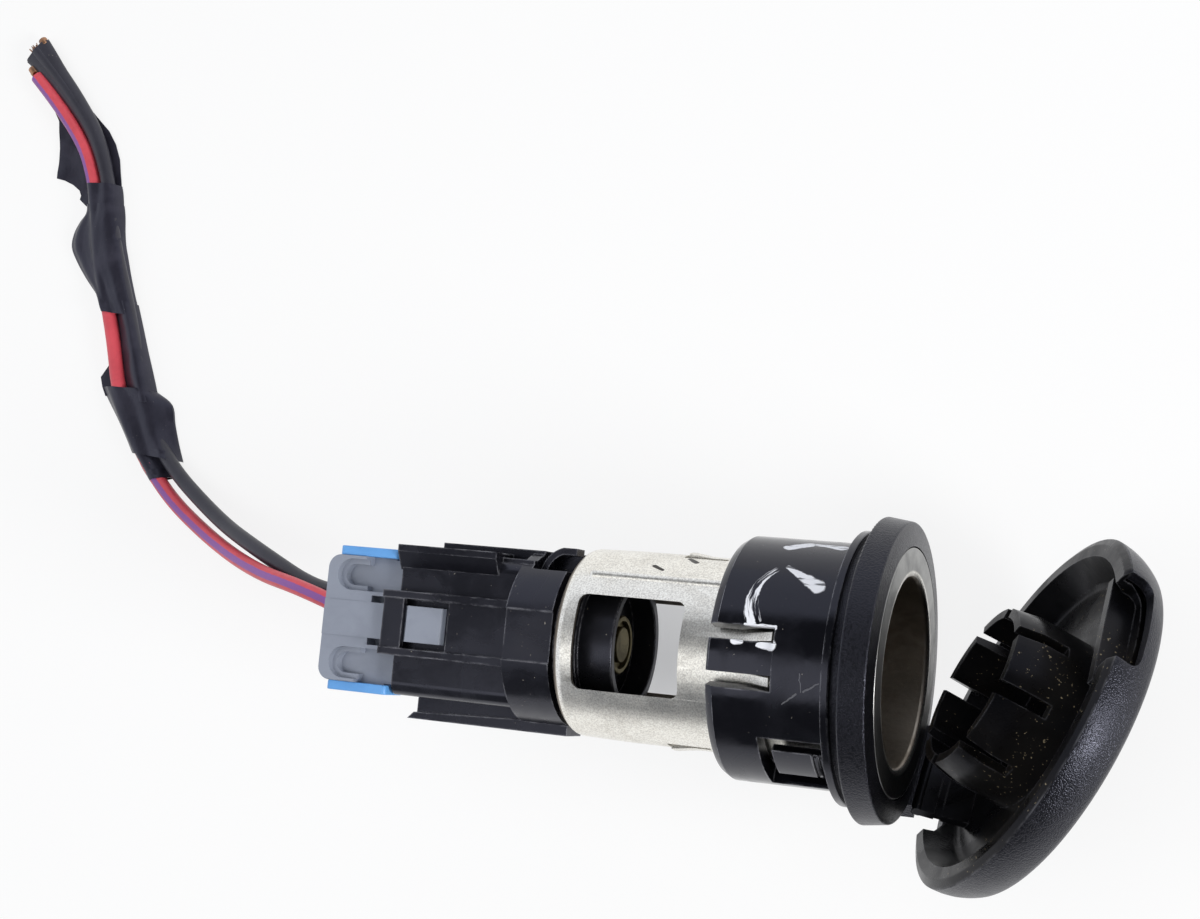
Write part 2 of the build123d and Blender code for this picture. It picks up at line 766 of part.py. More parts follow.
# Connector housing behind the shell
def make_connector_housing():
    collar = rod(COLLAR_D / 2, COLLAR_REAR_X, COLLAR_X)
    flat_low = COLLAR_D / 2 - COLLAR_FLAT
    collar -= block(COLLAR_REAR_X - OVERCUT, COLLAR_X + OVERCUT, -RAIL_IN, RAIL_IN, flat_low, COLLAR_D)
    body = bar(BODY_REAR_X, COLLAR_REAR_X, 2 * BODY_HALF, BODY_BOTTOM, BODY_TOP, BODY_ROUND)
    housing = collar + body + latch_channel() + upper_guard() + lower_fin()
    notch_low = ARCH_Z - ARCH_W - ARCH_NOTCH
    housing -= block(COLLAR_X - ARCH_HEEL, COLLAR_X + OVERCUT, ARCH_FOOT, COLLAR_D, notch_low, COLLAR_D)
    housing += collar_arch()
    housing += rod(HOUSING_BOSS_D / 2, COLLAR_X, REAR_X)
    housing -= bar(
        BODY_REAR_X - OVERCUT, CAVITY_X, 2 * CAVITY_HALF, CAVITY_BOTTOM, CAVITY_TOP, BODY_ROUND - PLUG_CLEARANCE
    )
    housing -= rod(HOUSING_BOSS_BORE_D / 2, COLLAR_X - FRONT_POCKET_L, REAR_X)
    half = BLADE_W / 2 + BLADE_CLEARANCE
    low = BLADE_LOW - BLADE_CLEARANCE
    high = BLADE_HIGH + BLADE_CLEARANCE
    for y in (0, PITCH):
        housing -= block(CAVITY_X - OVERCUT, REAR_X, y - half, y + half, low, high)
    foot_back = REAR_X - BLADE_T - BLADE_CLEARANCE
    housing -= block(foot_back, REAR_X, PITCH - half, PITCH + half, low - GROUND_FOOT_L, high)
    return housing


def latch_channel():
    """Two rails along the top, a roof and a strap, with the latch window between them."""
    front = COLLAR_REAR_X + RAIL_T
    channel = block(LATCH_WINDOW_X, front, -RAIL_OUT, RAIL_OUT, LATCH_ROOF, RAIL_TOP - LIP_EDGE)
    channel += block(RAIL_REAR_X, LATCH_WINDOW_REAR_X, -RAIL_OUT, RAIL_OUT, LATCH_ROOF, RAIL_TOP)
    for side in (-1, 1):
        channel += block(
            RAIL_REAR_X, front, side * RAIL_IN, side * RAIL_OUT, BODY_TOP - BODY_WALL / 4, RAIL_TOP + RAIL_RISE
        )
    return channel


def guard_profile(top, out):
    """Flared wall that rises from the body's roof to a flat rim."""
    return [
        (GUARD_IN, BODY_TOP - BODY_WALL / 4),
        (out - GUARD_T, top),
        (out, top),
        (out, GUARD_FOOT),
        (BODY_HALF - BODY_WALL / 2, GUARD_FOOT),
    ]


def upper_guard():
    """Guard along one edge of the body, its rim stepped down near the shell, with a rail outside."""
    rear = BODY_REAR_X - GUARD_OVERHANG
    front = rear + GUARD_L
    step = front - GUARD_STEP_L
    guard = profile_bar(guard_profile(GUARD_TOP, GUARD_OUT), rear, step)
    guard += profile_bar(guard_profile(GUARD_TOP - GUARD_STEP, GUARD_OUT - GUARD_STEP_IN), step, front)
    rail_in = GUARD_OUT - GUARD_STEP_IN - GUARD_T / 2
    rail_out = GUARD_OUT + GUARD_RAIL_T
    rail_low = GUARD_FOOT + GUARD_T / 2
    return guard + block(front - GUARD_RAIL_L, front, rail_in, rail_out, rail_low, rail_low + GUARD_RAIL_H)


def lower_fin():
    """Fin on the other side, its lip growing wider towards the collar."""
    front = COLLAR_X - FIN_FROM_FRONT
    rear = front - FIN_L
    web_out = -FIN_OUT + FIN_LIP_T / 2
    web_in = -BODY_HALF + BODY_WALL / 2
    web = block(rear + FIN_T, front, web_out, web_in, -FIN_T / 2, FIN_T / 2)
    plan = [
        (rear, -FIN_OUT),
        (front, -FIN_OUT),
        (front, -FIN_ROOT),
        (COLLAR_REAR_X, -FIN_ROOT),
        (rear + FIN_LIP_T, -FIN_OUT + FIN_LIP_T),
    ]
    lip = extrude(Plane.XY.offset(FIN_FOOT) * outline(plan), FIN_T - FIN_FOOT)
    return web + lip


def collar_arch():
    """Arched ear that springs from a notch in the collar and ends by the shell's rear edge."""
    heel = COLLAR_X - ARCH_HEEL
    bend = COLLAR_X - ARCH_BEND
    low = ARCH_TOP - ARCH_T
    foot = ARCH_FOOT - ARCH_T
    lines = [
        TangentArc((heel, foot), (bend, ARCH_TOP), tangent=(0, 1)),
        Polyline((bend, ARCH_TOP), (COLLAR_X, ARCH_TOP), (COLLAR_X, low), (bend, low)),
        TangentArc((heel + ARCH_T, foot), (bend, low), tangent=(0, 1)),
        Line((heel + ARCH_T, foot), (heel, foot)),
    ]
    return extrude(Plane.XY.offset(ARCH_Z - ARCH_W) * make_face(lines), ARCH_W)


# Mating plug with its lock clips
def make_plug_housing():
    corner = BODY_ROUND - PLUG_CLEARANCE
    plug = bar(PLUG_END_X, CAVITY_X, PLUG_W, PLUG_BOTTOM, PLUG_TOP, corner)
    plug += bar(PLUG_END_X, HEAD_X, PLUG_W, PLUG_BOTTOM, HEAD_TOP, LIP_EDGE)
    plan_l = CAVITY_X - PLUG_END_X + 2 * PLUG_CORNER
    plan = Pos(PLUG_END_X + plan_l / 2, 0) * RectangleRounded(plan_l, PLUG_W, PLUG_CORNER)
    plug &= extrude(plan, PLUG_W, both=True)
    for side in (-1, 1):
        plug -= plug_pocket(side)
    plug += latch_tongue()
    for side in (-1, 1):
        slit_in = side * LATCH_W / 2
        slit_out = side * (LATCH_W / 2 + LATCH_SLIT_W)
        slit_rear = HEAD_X - LATCH_SLIT_L
        plug -= block(slit_rear, HEAD_X + OVERCUT, slit_in, slit_out, POCKET_FLOOR, HEAD_TOP + OVERCUT)
    half_w = TERMINAL_W / 2 + CAVITY_WALL_GAP
    half_h = TERMINAL_H / 2 + CAVITY_WALL_GAP
    rear = PLUG_END_X - OVERCUT
    front = CAVITY_X + OVERCUT
    for y in (0, PITCH):
        plug -= block(rear, front, y - half_w, y + half_w, BLADE_Z - half_h, BLADE_Z + half_h)
    for side in (-1, 1):
        plug -= clip_tenon(side, PLUG_CLEARANCE / 2)
    return plug


def plug_pocket(side):
    """Round-ended pocket with a ledge, open at the plug's side near the housing."""
    start = PLUG_END_X + POCKET_FROM_END
    front = BODY_REAR_X + OVERCUT
    middle = side * (PLUG_W / 2 - POCKET_FROM_SIDE - POCKET_W / 2)
    length = front - start + POCKET_W
    ledge_low = HEAD_TOP - POCKET_LEDGE_DEPTH
    outer = Pos(start + length / 2, middle) * SlotOverall(length, POCKET_W)
    pocket = extrude(Plane.XY.offset(ledge_low) * outer, POCKET_DEPTH)
    inner_w = POCKET_W - 2 * POCKET_LEDGE_W
    inner = Pos(start + POCKET_LEDGE_W + length / 2, middle) * SlotOverall(length, inner_w)
    pocket += extrude(Plane.XY.offset(POCKET_FLOOR) * inner, POCKET_DEPTH)
    mouth = start + POCKET_MOUTH
    inside = side * (PLUG_W / 2 - POCKET_FROM_SIDE - POCKET_W)
    return pocket + block(mouth, front, inside, side * PLUG_W, POCKET_FLOOR, HEAD_TOP + OVERCUT)


def latch_tongue():
    """Latch of the plug: a block at its end, a tongue under the strap and the catch in the window."""
    top = LATCH_ROOF - LATCH_CLEARANCE
    low = BODY_TOP + LATCH_CLEARANCE
    half = LATCH_W / 2
    latch = block(PLUG_END_X, HEAD_X, -half, half, 0, top)
    latch += block(PLUG_END_X, LATCH_WINDOW_X - LATCH_STEP, -half, half, low, top)
    catch = [
        (LATCH_WINDOW_REAR_X + LATCH_STEP, top),
        (LATCH_WINDOW_REAR_X + LATCH_STEP, RAIL_TOP - LATCH_CLEARANCE),
        (LATCH_WINDOW_X - 2 * LATCH_STEP, RAIL_TOP - LATCH_STEP),
        (LATCH_WINDOW_X - LATCH_STEP, top),
    ]
    return latch + side_plate(catch, -half, half)


def clip_tenon(side, clearance):
    """Peg of a lock clip, in the plug's side below the pocket."""
    rear = PLUG_END_X + CLIP_FROM_END + CLIP_L / 4
    front = rear + CLIP_L / 2
    wall = PLUG_W / 2
    low = CLIP_Z - CLIP_H / 2 + CLIP_ROUND
    high = POCKET_FLOOR - CLIP_ROUND
    return block(
        rear - clearance,
        front + clearance,
        side * (wall - CLIP_TENON - clearance),
        side * wall,
        low - clearance,
        high + clearance,
    )


def make_lock_clip(side):
    rear = PLUG_END_X + CLIP_FROM_END
    inner = PLUG_W / 2
    shape = Pos(rear + CLIP_L / 2, CLIP_Z) * RectangleRounded(CLIP_L, CLIP_H, CLIP_ROUND)
    plate = extrude(Plane.XZ.offset(-side * inner) * shape, CLIP_T, dir=(0, side, 0))
    return plate + clip_tenon(side, 0)


# Terminals inside the plug, crimped on the leads
def make_terminal(y):
    box = block(
        TERMINAL_REAR_X,
        TERMINAL_X,
        y - TERMINAL_W / 2,
        y + TERMINAL_W / 2,
        BLADE_Z - TERMINAL_H / 2,
        BLADE_Z + TERMINAL_H / 2,
    )
    half = BLADE_W / 2 + BLADE_CLEARANCE
    box -= block(
        TERMINAL_REAR_X - OVERCUT,
        TERMINAL_X + OVERCUT,
        y - half,
        y + half,
        BLADE_LOW - BLADE_CLEARANCE,
        BLADE_HIGH + BLADE_CLEARANCE,
    )
    crimp_r = WIRE_R + CRIMP_WALL
    neck_low = BLADE_Z - TERMINAL_H / 2
    neck = block(CRIMP_X - CRIMP_L / 2, TERMINAL_X, y - WIRE_R, y + WIRE_R, neck_low, neck_low + CRIMP_WALL)
    barrel = rod(crimp_r, CRIMP_X - CRIMP_L, CRIMP_X, y, BLADE_Z)
    bore = rod(WIRE_R, CRIMP_X - CRIMP_L - OVERCUT, CRIMP_X + OVERCUT, y, BLADE_Z)
    return box + neck + barrel - bore


# Leads and tape
def lead_path(route):
    """Straight runs joined by arcs as large as the runs allow."""
    points = [Vector(*point) for point in route]
    runs = [after - before for before, after in zip(points, points[1:])]
    radii = []
    for before, after in zip(runs, runs[1:]):
        half_turn = radians(before.get_angle(after)) / 2
        radii.append(BEND_SHARE * min(before.length, after.length) / tan(half_turn))
    print("bend radii", [round(radius, 1) for radius in radii])
    return FilletPolyline(*points, radius=radii)


def make_wire(route):
    path = lead_path(route)
    start = Plane(origin=path @ 0, z_dir=path % 0)
    wire = sweep(start * Circle(WIRE_R), path=path)
    section = Circle(WIRE_R).area
    print("tube volume over section times length", round(wire.volume / (section * path.length), 4))
    return wire


def make_wire_core(route):
    """Copper strands that show at the cut end."""
    end = Vector(*route[-1])
    direction = (end - Vector(*route[-2])).normalized()
    return extrude(Plane(origin=end, z_dir=direction) * Circle(CORE_D / 2), CORE_OUT)


def tape_sleeve(ends):
    """Flattened wrap of tape round both leads, between two plan points."""
    start = Vector(*ends[0], TAPE_Z)
    along = Vector(*ends[1], TAPE_Z) - start
    across = Vector(0, 0, 1).cross(along)
    section = Plane(origin=start, x_dir=across, z_dir=along) * SlotOverall(TAPE_W, TAPE_H)
    return extrude(section, along.length)


def make_tape_wrap(ends, wires, flag=None):
    wrap = tape_sleeve(ends)
    if flag:
        wrap += extrude(Plane.XY.offset(TAPE_Z - FLAG_T / 2) * outline(flag), FLAG_T)
    for wire in wires:
        wrap -= wire
    return wrap


red_wire = make_wire(RED_ROUTE)
black_wire = make_wire(BLACK_ROUTE)
wires = (red_wire, black_wire)

nodes = {
    "socket_shell": make_socket_shell(),
    "mounting_sleeve": make_mounting_sleeve(),
    "bezel_ring": make_bezel_ring(),
    "cap_cover": make_cap_cover(),
    "cap_liner": make_cap_liner(),
    "contact_carrier": make_contact_carrier(),
    "centre_contact": make_centre_contact(),
    "contact_rivet": make_contact_rivet(),
    "positive_blade": make_positive_blade(),
    "ground_blade": make_ground_blade(),
    "connector_housing": make_connector_housing(),
    "plug_housing": make_plug_housing(),
    "lock_clip_upper": make_lock_clip(1),
    "lock_clip_lower": make_lock_clip(-1),
    "positive_terminal": make_terminal(0),
    "ground_terminal": make_terminal(PITCH),
    "red_wire": red_wire,
    "black_wire": black_wire,
    "red_wire_core": make_wire_core(RED_ROUTE),
    "black_wire_core": make_wire_core(BLACK_ROUTE),
    "tape_wrap_lower": make_tape_wrap(TAPE_LOWER, wires),
    "tape_wrap_middle": make_tape_wrap(TAPE_MIDDLE, wires),
    "tape_wrap_upper": make_tape_wrap(TAPE_UPPER, wires, FLAG_OUTLINE),
}

os.makedirs("parts", exist_ok=True)
for name, solid in nodes.items():
    export_step(solid, f"parts/{name}.step")
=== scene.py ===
"""Looks of a car 12 V power socket: tube, sleeve, bezel, hinged cap, connector and cut leads.

Everything is in metres in the part's own frame: X out of the mouth, +Z on the latch side.
"""
import json
from math import cos, pi, radians, sin

import bmesh
import bpy
from mathutils import Matrix, Vector, noise


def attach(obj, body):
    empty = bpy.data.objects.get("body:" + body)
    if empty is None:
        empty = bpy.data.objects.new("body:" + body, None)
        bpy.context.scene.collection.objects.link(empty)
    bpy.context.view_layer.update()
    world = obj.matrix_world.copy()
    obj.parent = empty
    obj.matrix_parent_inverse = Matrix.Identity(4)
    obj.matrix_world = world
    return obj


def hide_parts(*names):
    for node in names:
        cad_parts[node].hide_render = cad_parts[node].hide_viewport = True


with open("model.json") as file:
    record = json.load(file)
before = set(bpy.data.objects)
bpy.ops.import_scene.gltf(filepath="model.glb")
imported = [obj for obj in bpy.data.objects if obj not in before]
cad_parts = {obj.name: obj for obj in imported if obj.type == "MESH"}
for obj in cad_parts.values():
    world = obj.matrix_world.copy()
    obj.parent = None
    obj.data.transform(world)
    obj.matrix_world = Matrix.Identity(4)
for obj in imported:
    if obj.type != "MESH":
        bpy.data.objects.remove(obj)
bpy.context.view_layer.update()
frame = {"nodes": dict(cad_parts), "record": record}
nodes = frame["nodes"]

MM = 0.001

# Camera fitted to the photograph
CAMERA_PLACE = (0.05851, 0.0, 0.2285)
CAMERA_RIGHT = (0.92682, 0.09807, -0.36247)
CAMERA_UP = (-0.05933, 0.99141, 0.11655)
CAMERA_BACK = (0.37079, -0.08651, 0.92468)
CAMERA_LENS = 63.0
CAMERA_SENSOR = 36.0
CAMERA_SEES = (0.01, 20.0)

# Surface that the part lies on
FLOOR_Z = -0.02362
FLOOR_HALF = 6.0

# Round walls about the socket's axis
SLEEVE_R = 13.8 * MM
SHELL_R = 11.0 * MM
BORE_SEEN_R = 10.75 * MM
LIP_FROM_X = 4.9 * MM
LIP_INNER_R = 11.1 * MM

# Leads: the routes of the part's source, with a few points moved to follow the photograph
LEAD_D = 0.0021
RED_ROUTE = [
    (-0.0545, 0.0, -0.005),
    (-0.064, 0.0, -0.005),
    (-0.0742, 0.0032, -0.0056),
    (-0.0843, 0.0048, -0.0112),
    (-0.0966, 0.0088, -0.0188),
    (-0.1078, 0.0155, -0.0221),
    (-0.116, 0.0267, -0.0221),
    (-0.1186, 0.0372, -0.0221),
    (-0.1224, 0.0474, -0.0221),
    (-0.1246, 0.0592, -0.0221),
    (-0.1289, 0.0671, -0.0221),
    (-0.1371, 0.0748, -0.0221),
]
BLACK_ROUTE = [
    (-0.0545, 0.0046, -0.005),
    (-0.064, 0.0046, -0.005),
    (-0.0722, 0.0024, -0.0088),
    (-0.0862, 0.008, -0.0132),
    (-0.0957, 0.0116, -0.0186),
    (-0.1076, 0.0195, -0.0221),
    (-0.1123, 0.0281, -0.0221),
    (-0.1159, 0.0392, -0.0221),
    (-0.1206, 0.0507, -0.0221),
    (-0.1231, 0.0618, -0.0221),
    (-0.1283, 0.0701, -0.0221),
    (-0.1377, 0.0788, -0.0221),
]
LEAD_SIDES = 24
NO_TURN = ((0.0, 0.0), (1.0, 0.0))


# Shader building
class Shade:
    """Short way to write a node tree."""

    def __init__(self, tree):
        self.tree = tree

    def node(self, kind, **settings):
        made = self.tree.nodes.new("ShaderNode" + kind)
        for key, value in settings.items():
            setattr(made, key, value)
        return made

    def put(self, socket, value):
        if isinstance(value, bpy.types.NodeSocket):
            self.tree.links.new(value, socket)
        else:
            socket.default_value = value

    def math(self, operation, a, b=0.0, c=0.0, clamp=False):
        made = self.node("Math", operation=operation, use_clamp=clamp)
        for socket, value in zip(made.inputs, (a, b, c)):
            self.put(socket, value)
        return made.outputs[0]

    def times(self, a, b):
        return self.math("MULTIPLY", a, b)

    def vector(self, operation, a, b=(0.0, 0.0, 0.0)):
        made = self.node("VectorMath", operation=operation)
        self.put(made.inputs[0], a)
        self.put(made.inputs[1], b)
        number = operation in ("LENGTH", "DOT_PRODUCT")
        return made.outputs["Value"] if number else made.outputs[0]

    def parts(self, vector):
        made = self.node("SeparateXYZ")
        self.put(made.inputs[0], vector)
        return made.outputs

    def joined(self, x, y, z=0.0):
        made = self.node("CombineXYZ")
        for socket, value in zip(made.inputs, (x, y, z)):
            self.put(socket, value)
        return made.outputs[0]

    def place(self, turn=(0.0, 0.0, 0.0), stretch=(1.0, 1.0, 1.0)):
        """Object coordinates, turned and stretched."""
        coordinates = self.node("TexCoord")
        made = self.node("Mapping", vector_type="POINT")
        self.put(made.inputs["Vector"], coordinates.outputs["Object"])
        self.put(made.inputs["Rotation"], turn)
        self.put(made.inputs["Scale"], stretch)
        return made.outputs[0]

    def noise(self, vector, scale, detail=3.0, rough=0.5, distortion=0.0):
        made = self.node("TexNoise")
        self.put(made.inputs["Vector"], vector)
        self.put(made.inputs["Scale"], scale)
        self.put(made.inputs["Detail"], detail)
        self.put(made.inputs["Roughness"], rough)
        self.put(made.inputs["Distortion"], distortion)
        return made.outputs[0]

    def cells(self, vector, scale):
        made = self.node("TexVoronoi")
        self.put(made.inputs["Vector"], vector)
        self.put(made.inputs["Scale"], scale)
        return made.outputs["Distance"]

    def ramp(self, value, low, high, to_low=0.0, to_high=1.0):
        """Smooth step of a value between two levels."""
        made = self.node("MapRange", interpolation_type="SMOOTHSTEP", clamp=True)
        labels = ("Value", "From Min", "From Max", "To Min", "To Max")
        for label, setting in zip(labels, (value, low, high, to_low, to_high)):
            self.put(made.inputs[label], setting)
        return made.outputs[0]

    def blend(self, factor, a, b, kind="MIX"):
        made = self.node("Mix", data_type="RGBA", blend_type=kind, clamp_factor=True)
        self.put(made.inputs["Factor"], factor)
        for label, value in (("A", a), ("B", b)):
            socket = [s for s in made.inputs if s.name == label and s.type == "RGBA"][0]
            self.put(socket, value)
        return [s for s in made.outputs if s.type == "RGBA"][0]

    def over(self, colour, mask, share, tint):
        """Colour with a share of a tint laid over it where the mask is."""
        return self.blend(self.times(mask, share), colour, rgb(*tint))

    def bump(self, height, distance, strength):
        made = self.node("Bump")
        self.put(made.inputs["Height"], height)
        self.put(made.inputs["Distance"], distance)
        self.put(made.inputs["Strength"], strength)
        return made.outputs[0]

    def effect(self, group, **values):
        """A shared effect, with its named inputs set."""
        made = self.node("Group", node_tree=group)
        for label, value in values.items():
            self.put(made.inputs[label.replace("_", " ")], value)
        return made.outputs


def rgb(red, green, blue):
    return (red, green, blue, 1.0)


def shared_effect(name, inputs, outputs):
    """New node group with its inputs after Vector, and float outputs."""
    tree = bpy.data.node_groups.new(name, "ShaderNodeTree")
    tree.interface.new_socket("Vector", in_out="INPUT", socket_type="NodeSocketVector")
    for label, default in inputs.items():
        kind = "NodeSocketVector" if isinstance(default, tuple) else "NodeSocketFloat"
        made = tree.interface.new_socket(label, in_out="INPUT", socket_type=kind)
        made.default_value = default
    for label in outputs:
        tree.interface.new_socket(label, in_out="OUTPUT", socket_type="NodeSocketFloat")
    source = tree.nodes.new("NodeGroupInput")
    sink = tree.nodes.new("NodeGroupOutput")
    return tree, Shade(tree), source.outputs, sink.inputs


def leather_grain():
    """Moulded leather grain: rounded pebbles with fine creases between them, and a crease mask that the
    finishes use as painted shade.
    """
    inputs = {"Pebbles": 1500.0}
    tree, shade, given, result = shared_effect("leather_grain", inputs, ["Height", "Crease_Shade"])
    sway = shade.noise(given["Vector"], shade.times(given["Pebbles"], 0.35), 2.0)
    reach = shade.math("DIVIDE", 1.1, given["Pebbles"])
    push = shade.times(shade.math("SUBTRACT", sway, 0.5), reach)
    bent = shade.vector("ADD", given["Vector"], push)
    pebble = shade.cells(bent, given["Pebbles"])
    small = shade.cells(bent, shade.times(given["Pebbles"], 2.3))
    crease = shade.ramp(pebble, 0.32, 0.72)
    low = shade.math("MULTIPLY_ADD", crease, 0.75, shade.times(small, 0.25))
    shade.put(result["Height"], shade.math("SUBTRACT", 1.0, low))
    shade.put(result["Crease_Shade"], crease)
    return tree


def dust():
    """Fine specks gathered in soft patches."""
    inputs = {"Patch": 90.0, "Speck": 2600.0, "Cover": 0.5}
    tree, shade, given, result = shared_effect("dust", inputs, ["Mask", "Film"])
    patch = shade.noise(given["Vector"], given["Patch"], 3.0, 0.6)
    bare = shade.math("MULTIPLY_ADD", given["Cover"], -0.5, 0.86)
    film = shade.ramp(patch, bare, 0.86)
    speck = shade.noise(given["Vector"], given["Speck"], 2.0, 0.7)
    level = shade.math("SUBTRACT", 0.73, shade.times(film, 0.14))
    shade.put(result["Mask"], shade.ramp(speck, level, shade.math("ADD", level, 0.06)))
    shade.put(result["Film"], film)
    return tree


def scuffs():
    """Long thin scratches, broken into patches."""
    inputs = {"Fineness": 900.0, "Patch": 120.0, "Cover": 0.5}
    tree, shade, given, result = shared_effect("scuffs", inputs, ["Mask"])
    line = shade.noise(given["Vector"], given["Fineness"], 3.0, 0.65, 0.4)
    patch = shade.noise(given["Vector"], given["Patch"], 2.0, 0.5)
    level = shade.math("SUBTRACT", 0.9, shade.times(given["Cover"], 0.35))
    lines = shade.ramp(line, level, shade.math("ADD", level, 0.08))
    shade.put(result["Mask"], shade.times(lines, shade.ramp(patch, 0.42, 0.62)))
    return tree


def smudges():
    """Soft uneven patches, as finger marks and tarnish leave them."""
    tree, shade, given, result = shared_effect("smudges", {"Patch": 160.0}, ["Broad", "Fine"])
    broad = shade.noise(given["Vector"], given["Patch"], 4.0, 0.6, 0.6)
    fine = shade.noise(given["Vector"], shade.times(given["Patch"], 6.0), 4.0, 0.65)
    shade.put(result["Broad"], shade.ramp(broad, 0.38, 0.68))
    shade.put(result["Fine"], fine)
    return tree


def unrolled():
    """Round wall about the socket's axis laid flat: way along, way round from the top, radius."""
    tree, shade, given, result = shared_effect("unrolled", {}, ["Along", "Round", "Radius"])
    x, y, z = shade.parts(given["Vector"])[:3]
    radius = shade.vector("LENGTH", shade.joined(0.0, y, z))
    shade.put(result["Along"], x)
    shade.put(result["Round"], shade.times(shade.math("ARCTAN2", y, z), radius))
    shade.put(result["Radius"], radius)
    return tree


def daub():
    """One brush stroke or scratch between two places of a flat wall."""
    inputs = {"From": (0.0, 0.0, 0.0), "To": (0.01, 0.0, 0.0), "Half From": 0.0005, "Half To": 0.0005}
    tree, shade, given, result = shared_effect("daub", inputs, ["Mask"])
    run = shade.vector("SUBTRACT", given["To"], given["From"])
    out = shade.vector("SUBTRACT", given["Vector"], given["From"])
    reach = shade.vector("DOT_PRODUCT", run, run)
    share = shade.math("DIVIDE", shade.vector("DOT_PRODUCT", out, run), reach, clamp=True)
    off = shade.vector("LENGTH", shade.vector("SUBTRACT", out, shade.vector("MULTIPLY", run, share)))
    growth = shade.math("SUBTRACT", given["Half To"], given["Half From"])
    half = shade.math("MULTIPLY_ADD", share, growth, given["Half From"])
    shade.put(result["Mask"], shade.ramp(shade.math("DIVIDE", off, half), 0.75, 1.0, 1.0, 0.0))
    return tree


# Edge wear and painted edge highlight: how far in from an edge it reaches, and how finely that is probed
WEAR_REACH = 0.3 * MM
WEAR_SAMPLES = 4


def edge_wear_and_highlight():
    """Edges that handling has rubbed bright, in patches, lightened as a painted edge highlight too, hollow
    edges as well as outer ones.
    """
    tree, shade, given, result = shared_effect("edge_wear_and_highlight", {"Patch": 420.0}, ["Mask"])
    worn = shade.node("Attribute", attribute_name="worn", attribute_type="GEOMETRY").outputs["Fac"]
    rounded = shade.node("Bevel", samples=WEAR_SAMPLES)
    shade.put(rounded.inputs["Radius"], WEAR_REACH)
    flat = shade.node("NewGeometry").outputs["Normal"]
    turned = shade.math("SUBTRACT", 1.0, shade.vector("DOT_PRODUCT", rounded.outputs[0], flat))
    worn = shade.math("MAXIMUM", worn, shade.ramp(turned, 0.02, 0.14))
    patch = shade.noise(given["Vector"], given["Patch"], 4.0, 0.65)
    shade.put(result["Mask"], shade.times(worn, shade.ramp(patch, 0.36, 0.62)))
    return tree


GRAIN = leather_grain()
DUST = dust()
SCUFFS = scuffs()
SMUDGES = smudges()
UNROLLED = unrolled()
DAUB = daub()
EDGE_WEAR_AND_HIGHLIGHT = edge_wear_and_highlight()


def finish(name, colour, rough, **settings):
    """New material with a Principled shader, returned with its builder."""
    material = bpy.data.materials.new(name)
    material.use_nodes = True
    material.diffuse_color = rgb(*colour)
    shade = Shade(material.node_tree)
    shader = material.node_tree.nodes["Principled BSDF"]
    shader.inputs["Base Color"].default_value = rgb(*colour)
    shader.inputs["Roughness"].default_value = rough
    for label, value in settings.items():
        shader.inputs[label.replace("_", " ")].default_value = value
    return material, shade, shader


def surface(shade, shader, colour, rough, height=None, depth=0.0, strength=0.5):
    """Colour, roughness and relief led to a material's shader."""
    shade.put(shader.inputs["Base Color"], colour)
    shade.put(shader.inputs["Roughness"], rough)
    if height is not None:
        shade.put(shader.inputs["Normal"], shade.bump(height, depth, strength))


# Old paint, scratches and dents, the dents painted dark as their shade: (x in mm, degrees round from the
# top, half width in mm) at both ends
PAINT_STROKES = [
    [(-6.2, 47.0, 0.3), (-2.3, 36.4, 0.95)],
    [(-7.2, 64.5, 0.8), (-5.4, 70.0, 0.75)],
    [(-4.6, 71.0, 0.35), (-1.6, 69.0, 0.8)],
    [(-9.2, 14.6, 0.2), (-6.0, 14.4, 0.32)],
    [(-10.4, 6.4, 0.42), (-9.7, 6.8, 0.42)],
    [(-7.6, 5.9, 0.3), (-6.2, 6.2, 0.75)],
]
SLEEVE_SCRATCHES = [
    [(-4.5, -19.3, 0.08), (-3.0, -14.0, 0.12)],
    [(-2.2, -12.7, 0.12), (-0.6, -8.5, 0.07)],
    [(-2.7, -4.9, 0.06), (-2.5, -12.9, 0.06)],
]
SHELL_DENTS = [
    [(-22.8, 56.6, 0.32), (-21.6, 53.0, 0.22)],
    [(-19.6, 71.0, 0.3), (-18.4, 65.5, 0.4)],
]
# Broad brush stroke on the sleeve, an arc of the unrolled wall
ARC_CENTRE = (-3.2 * MM, 6.6 * MM, 0.0)
ARC_R = 5.88 * MM
ARC_FROM = radians(-31.0)
ARC_TO = radians(48.0)
ARC_HALF_FROM = 0.95 * MM
ARC_HALF_TO = 0.35 * MM
# Lines that a brush's bristles leave, to the metre across a stroke and along it
BRISTLES_ACROSS = 2600.0
BRISTLES_ALONG = 300.0
# Fineness of the jitter that makes the strokes ragged
JITTER_SCALE = 1300.0


def ragged_wall(shade, ragged):
    """Unrolled wall about the socket's axis with its places jittered, and its radius."""
    wall = shade.effect(UNROLLED, Vector=shade.place())
    flat = shade.joined(wall["Along"], wall["Round"])
    jitter = shade.node("TexNoise")
    shade.put(jitter.inputs["Vector"], flat)
    shade.put(jitter.inputs["Scale"], JITTER_SCALE)
    shift = shade.vector("SUBTRACT", jitter.outputs["Color"], (0.5, 0.5, 0.5))
    shift = shade.vector("MULTIPLY", shift, (ragged, ragged, 0.0))
    return shade.vector("ADD", flat, shift), wall["Radius"]


def strokes_on(shade, flat, strokes, radius):
    """Mask of straight strokes on an unrolled wall."""
    mask = None
    for (x, turn, half), (next_x, next_turn, next_half) in strokes:
        one = shade.effect(
            DAUB,
            Vector=flat,
            From=(x * MM, radians(turn) * radius, 0.0),
            To=(next_x * MM, radians(next_turn) * radius, 0.0),
            Half_From=half * MM,
            Half_To=next_half * MM,
        )["Mask"]
        mask = one if mask is None else shade.math("MAXIMUM", mask, one)
    return mask


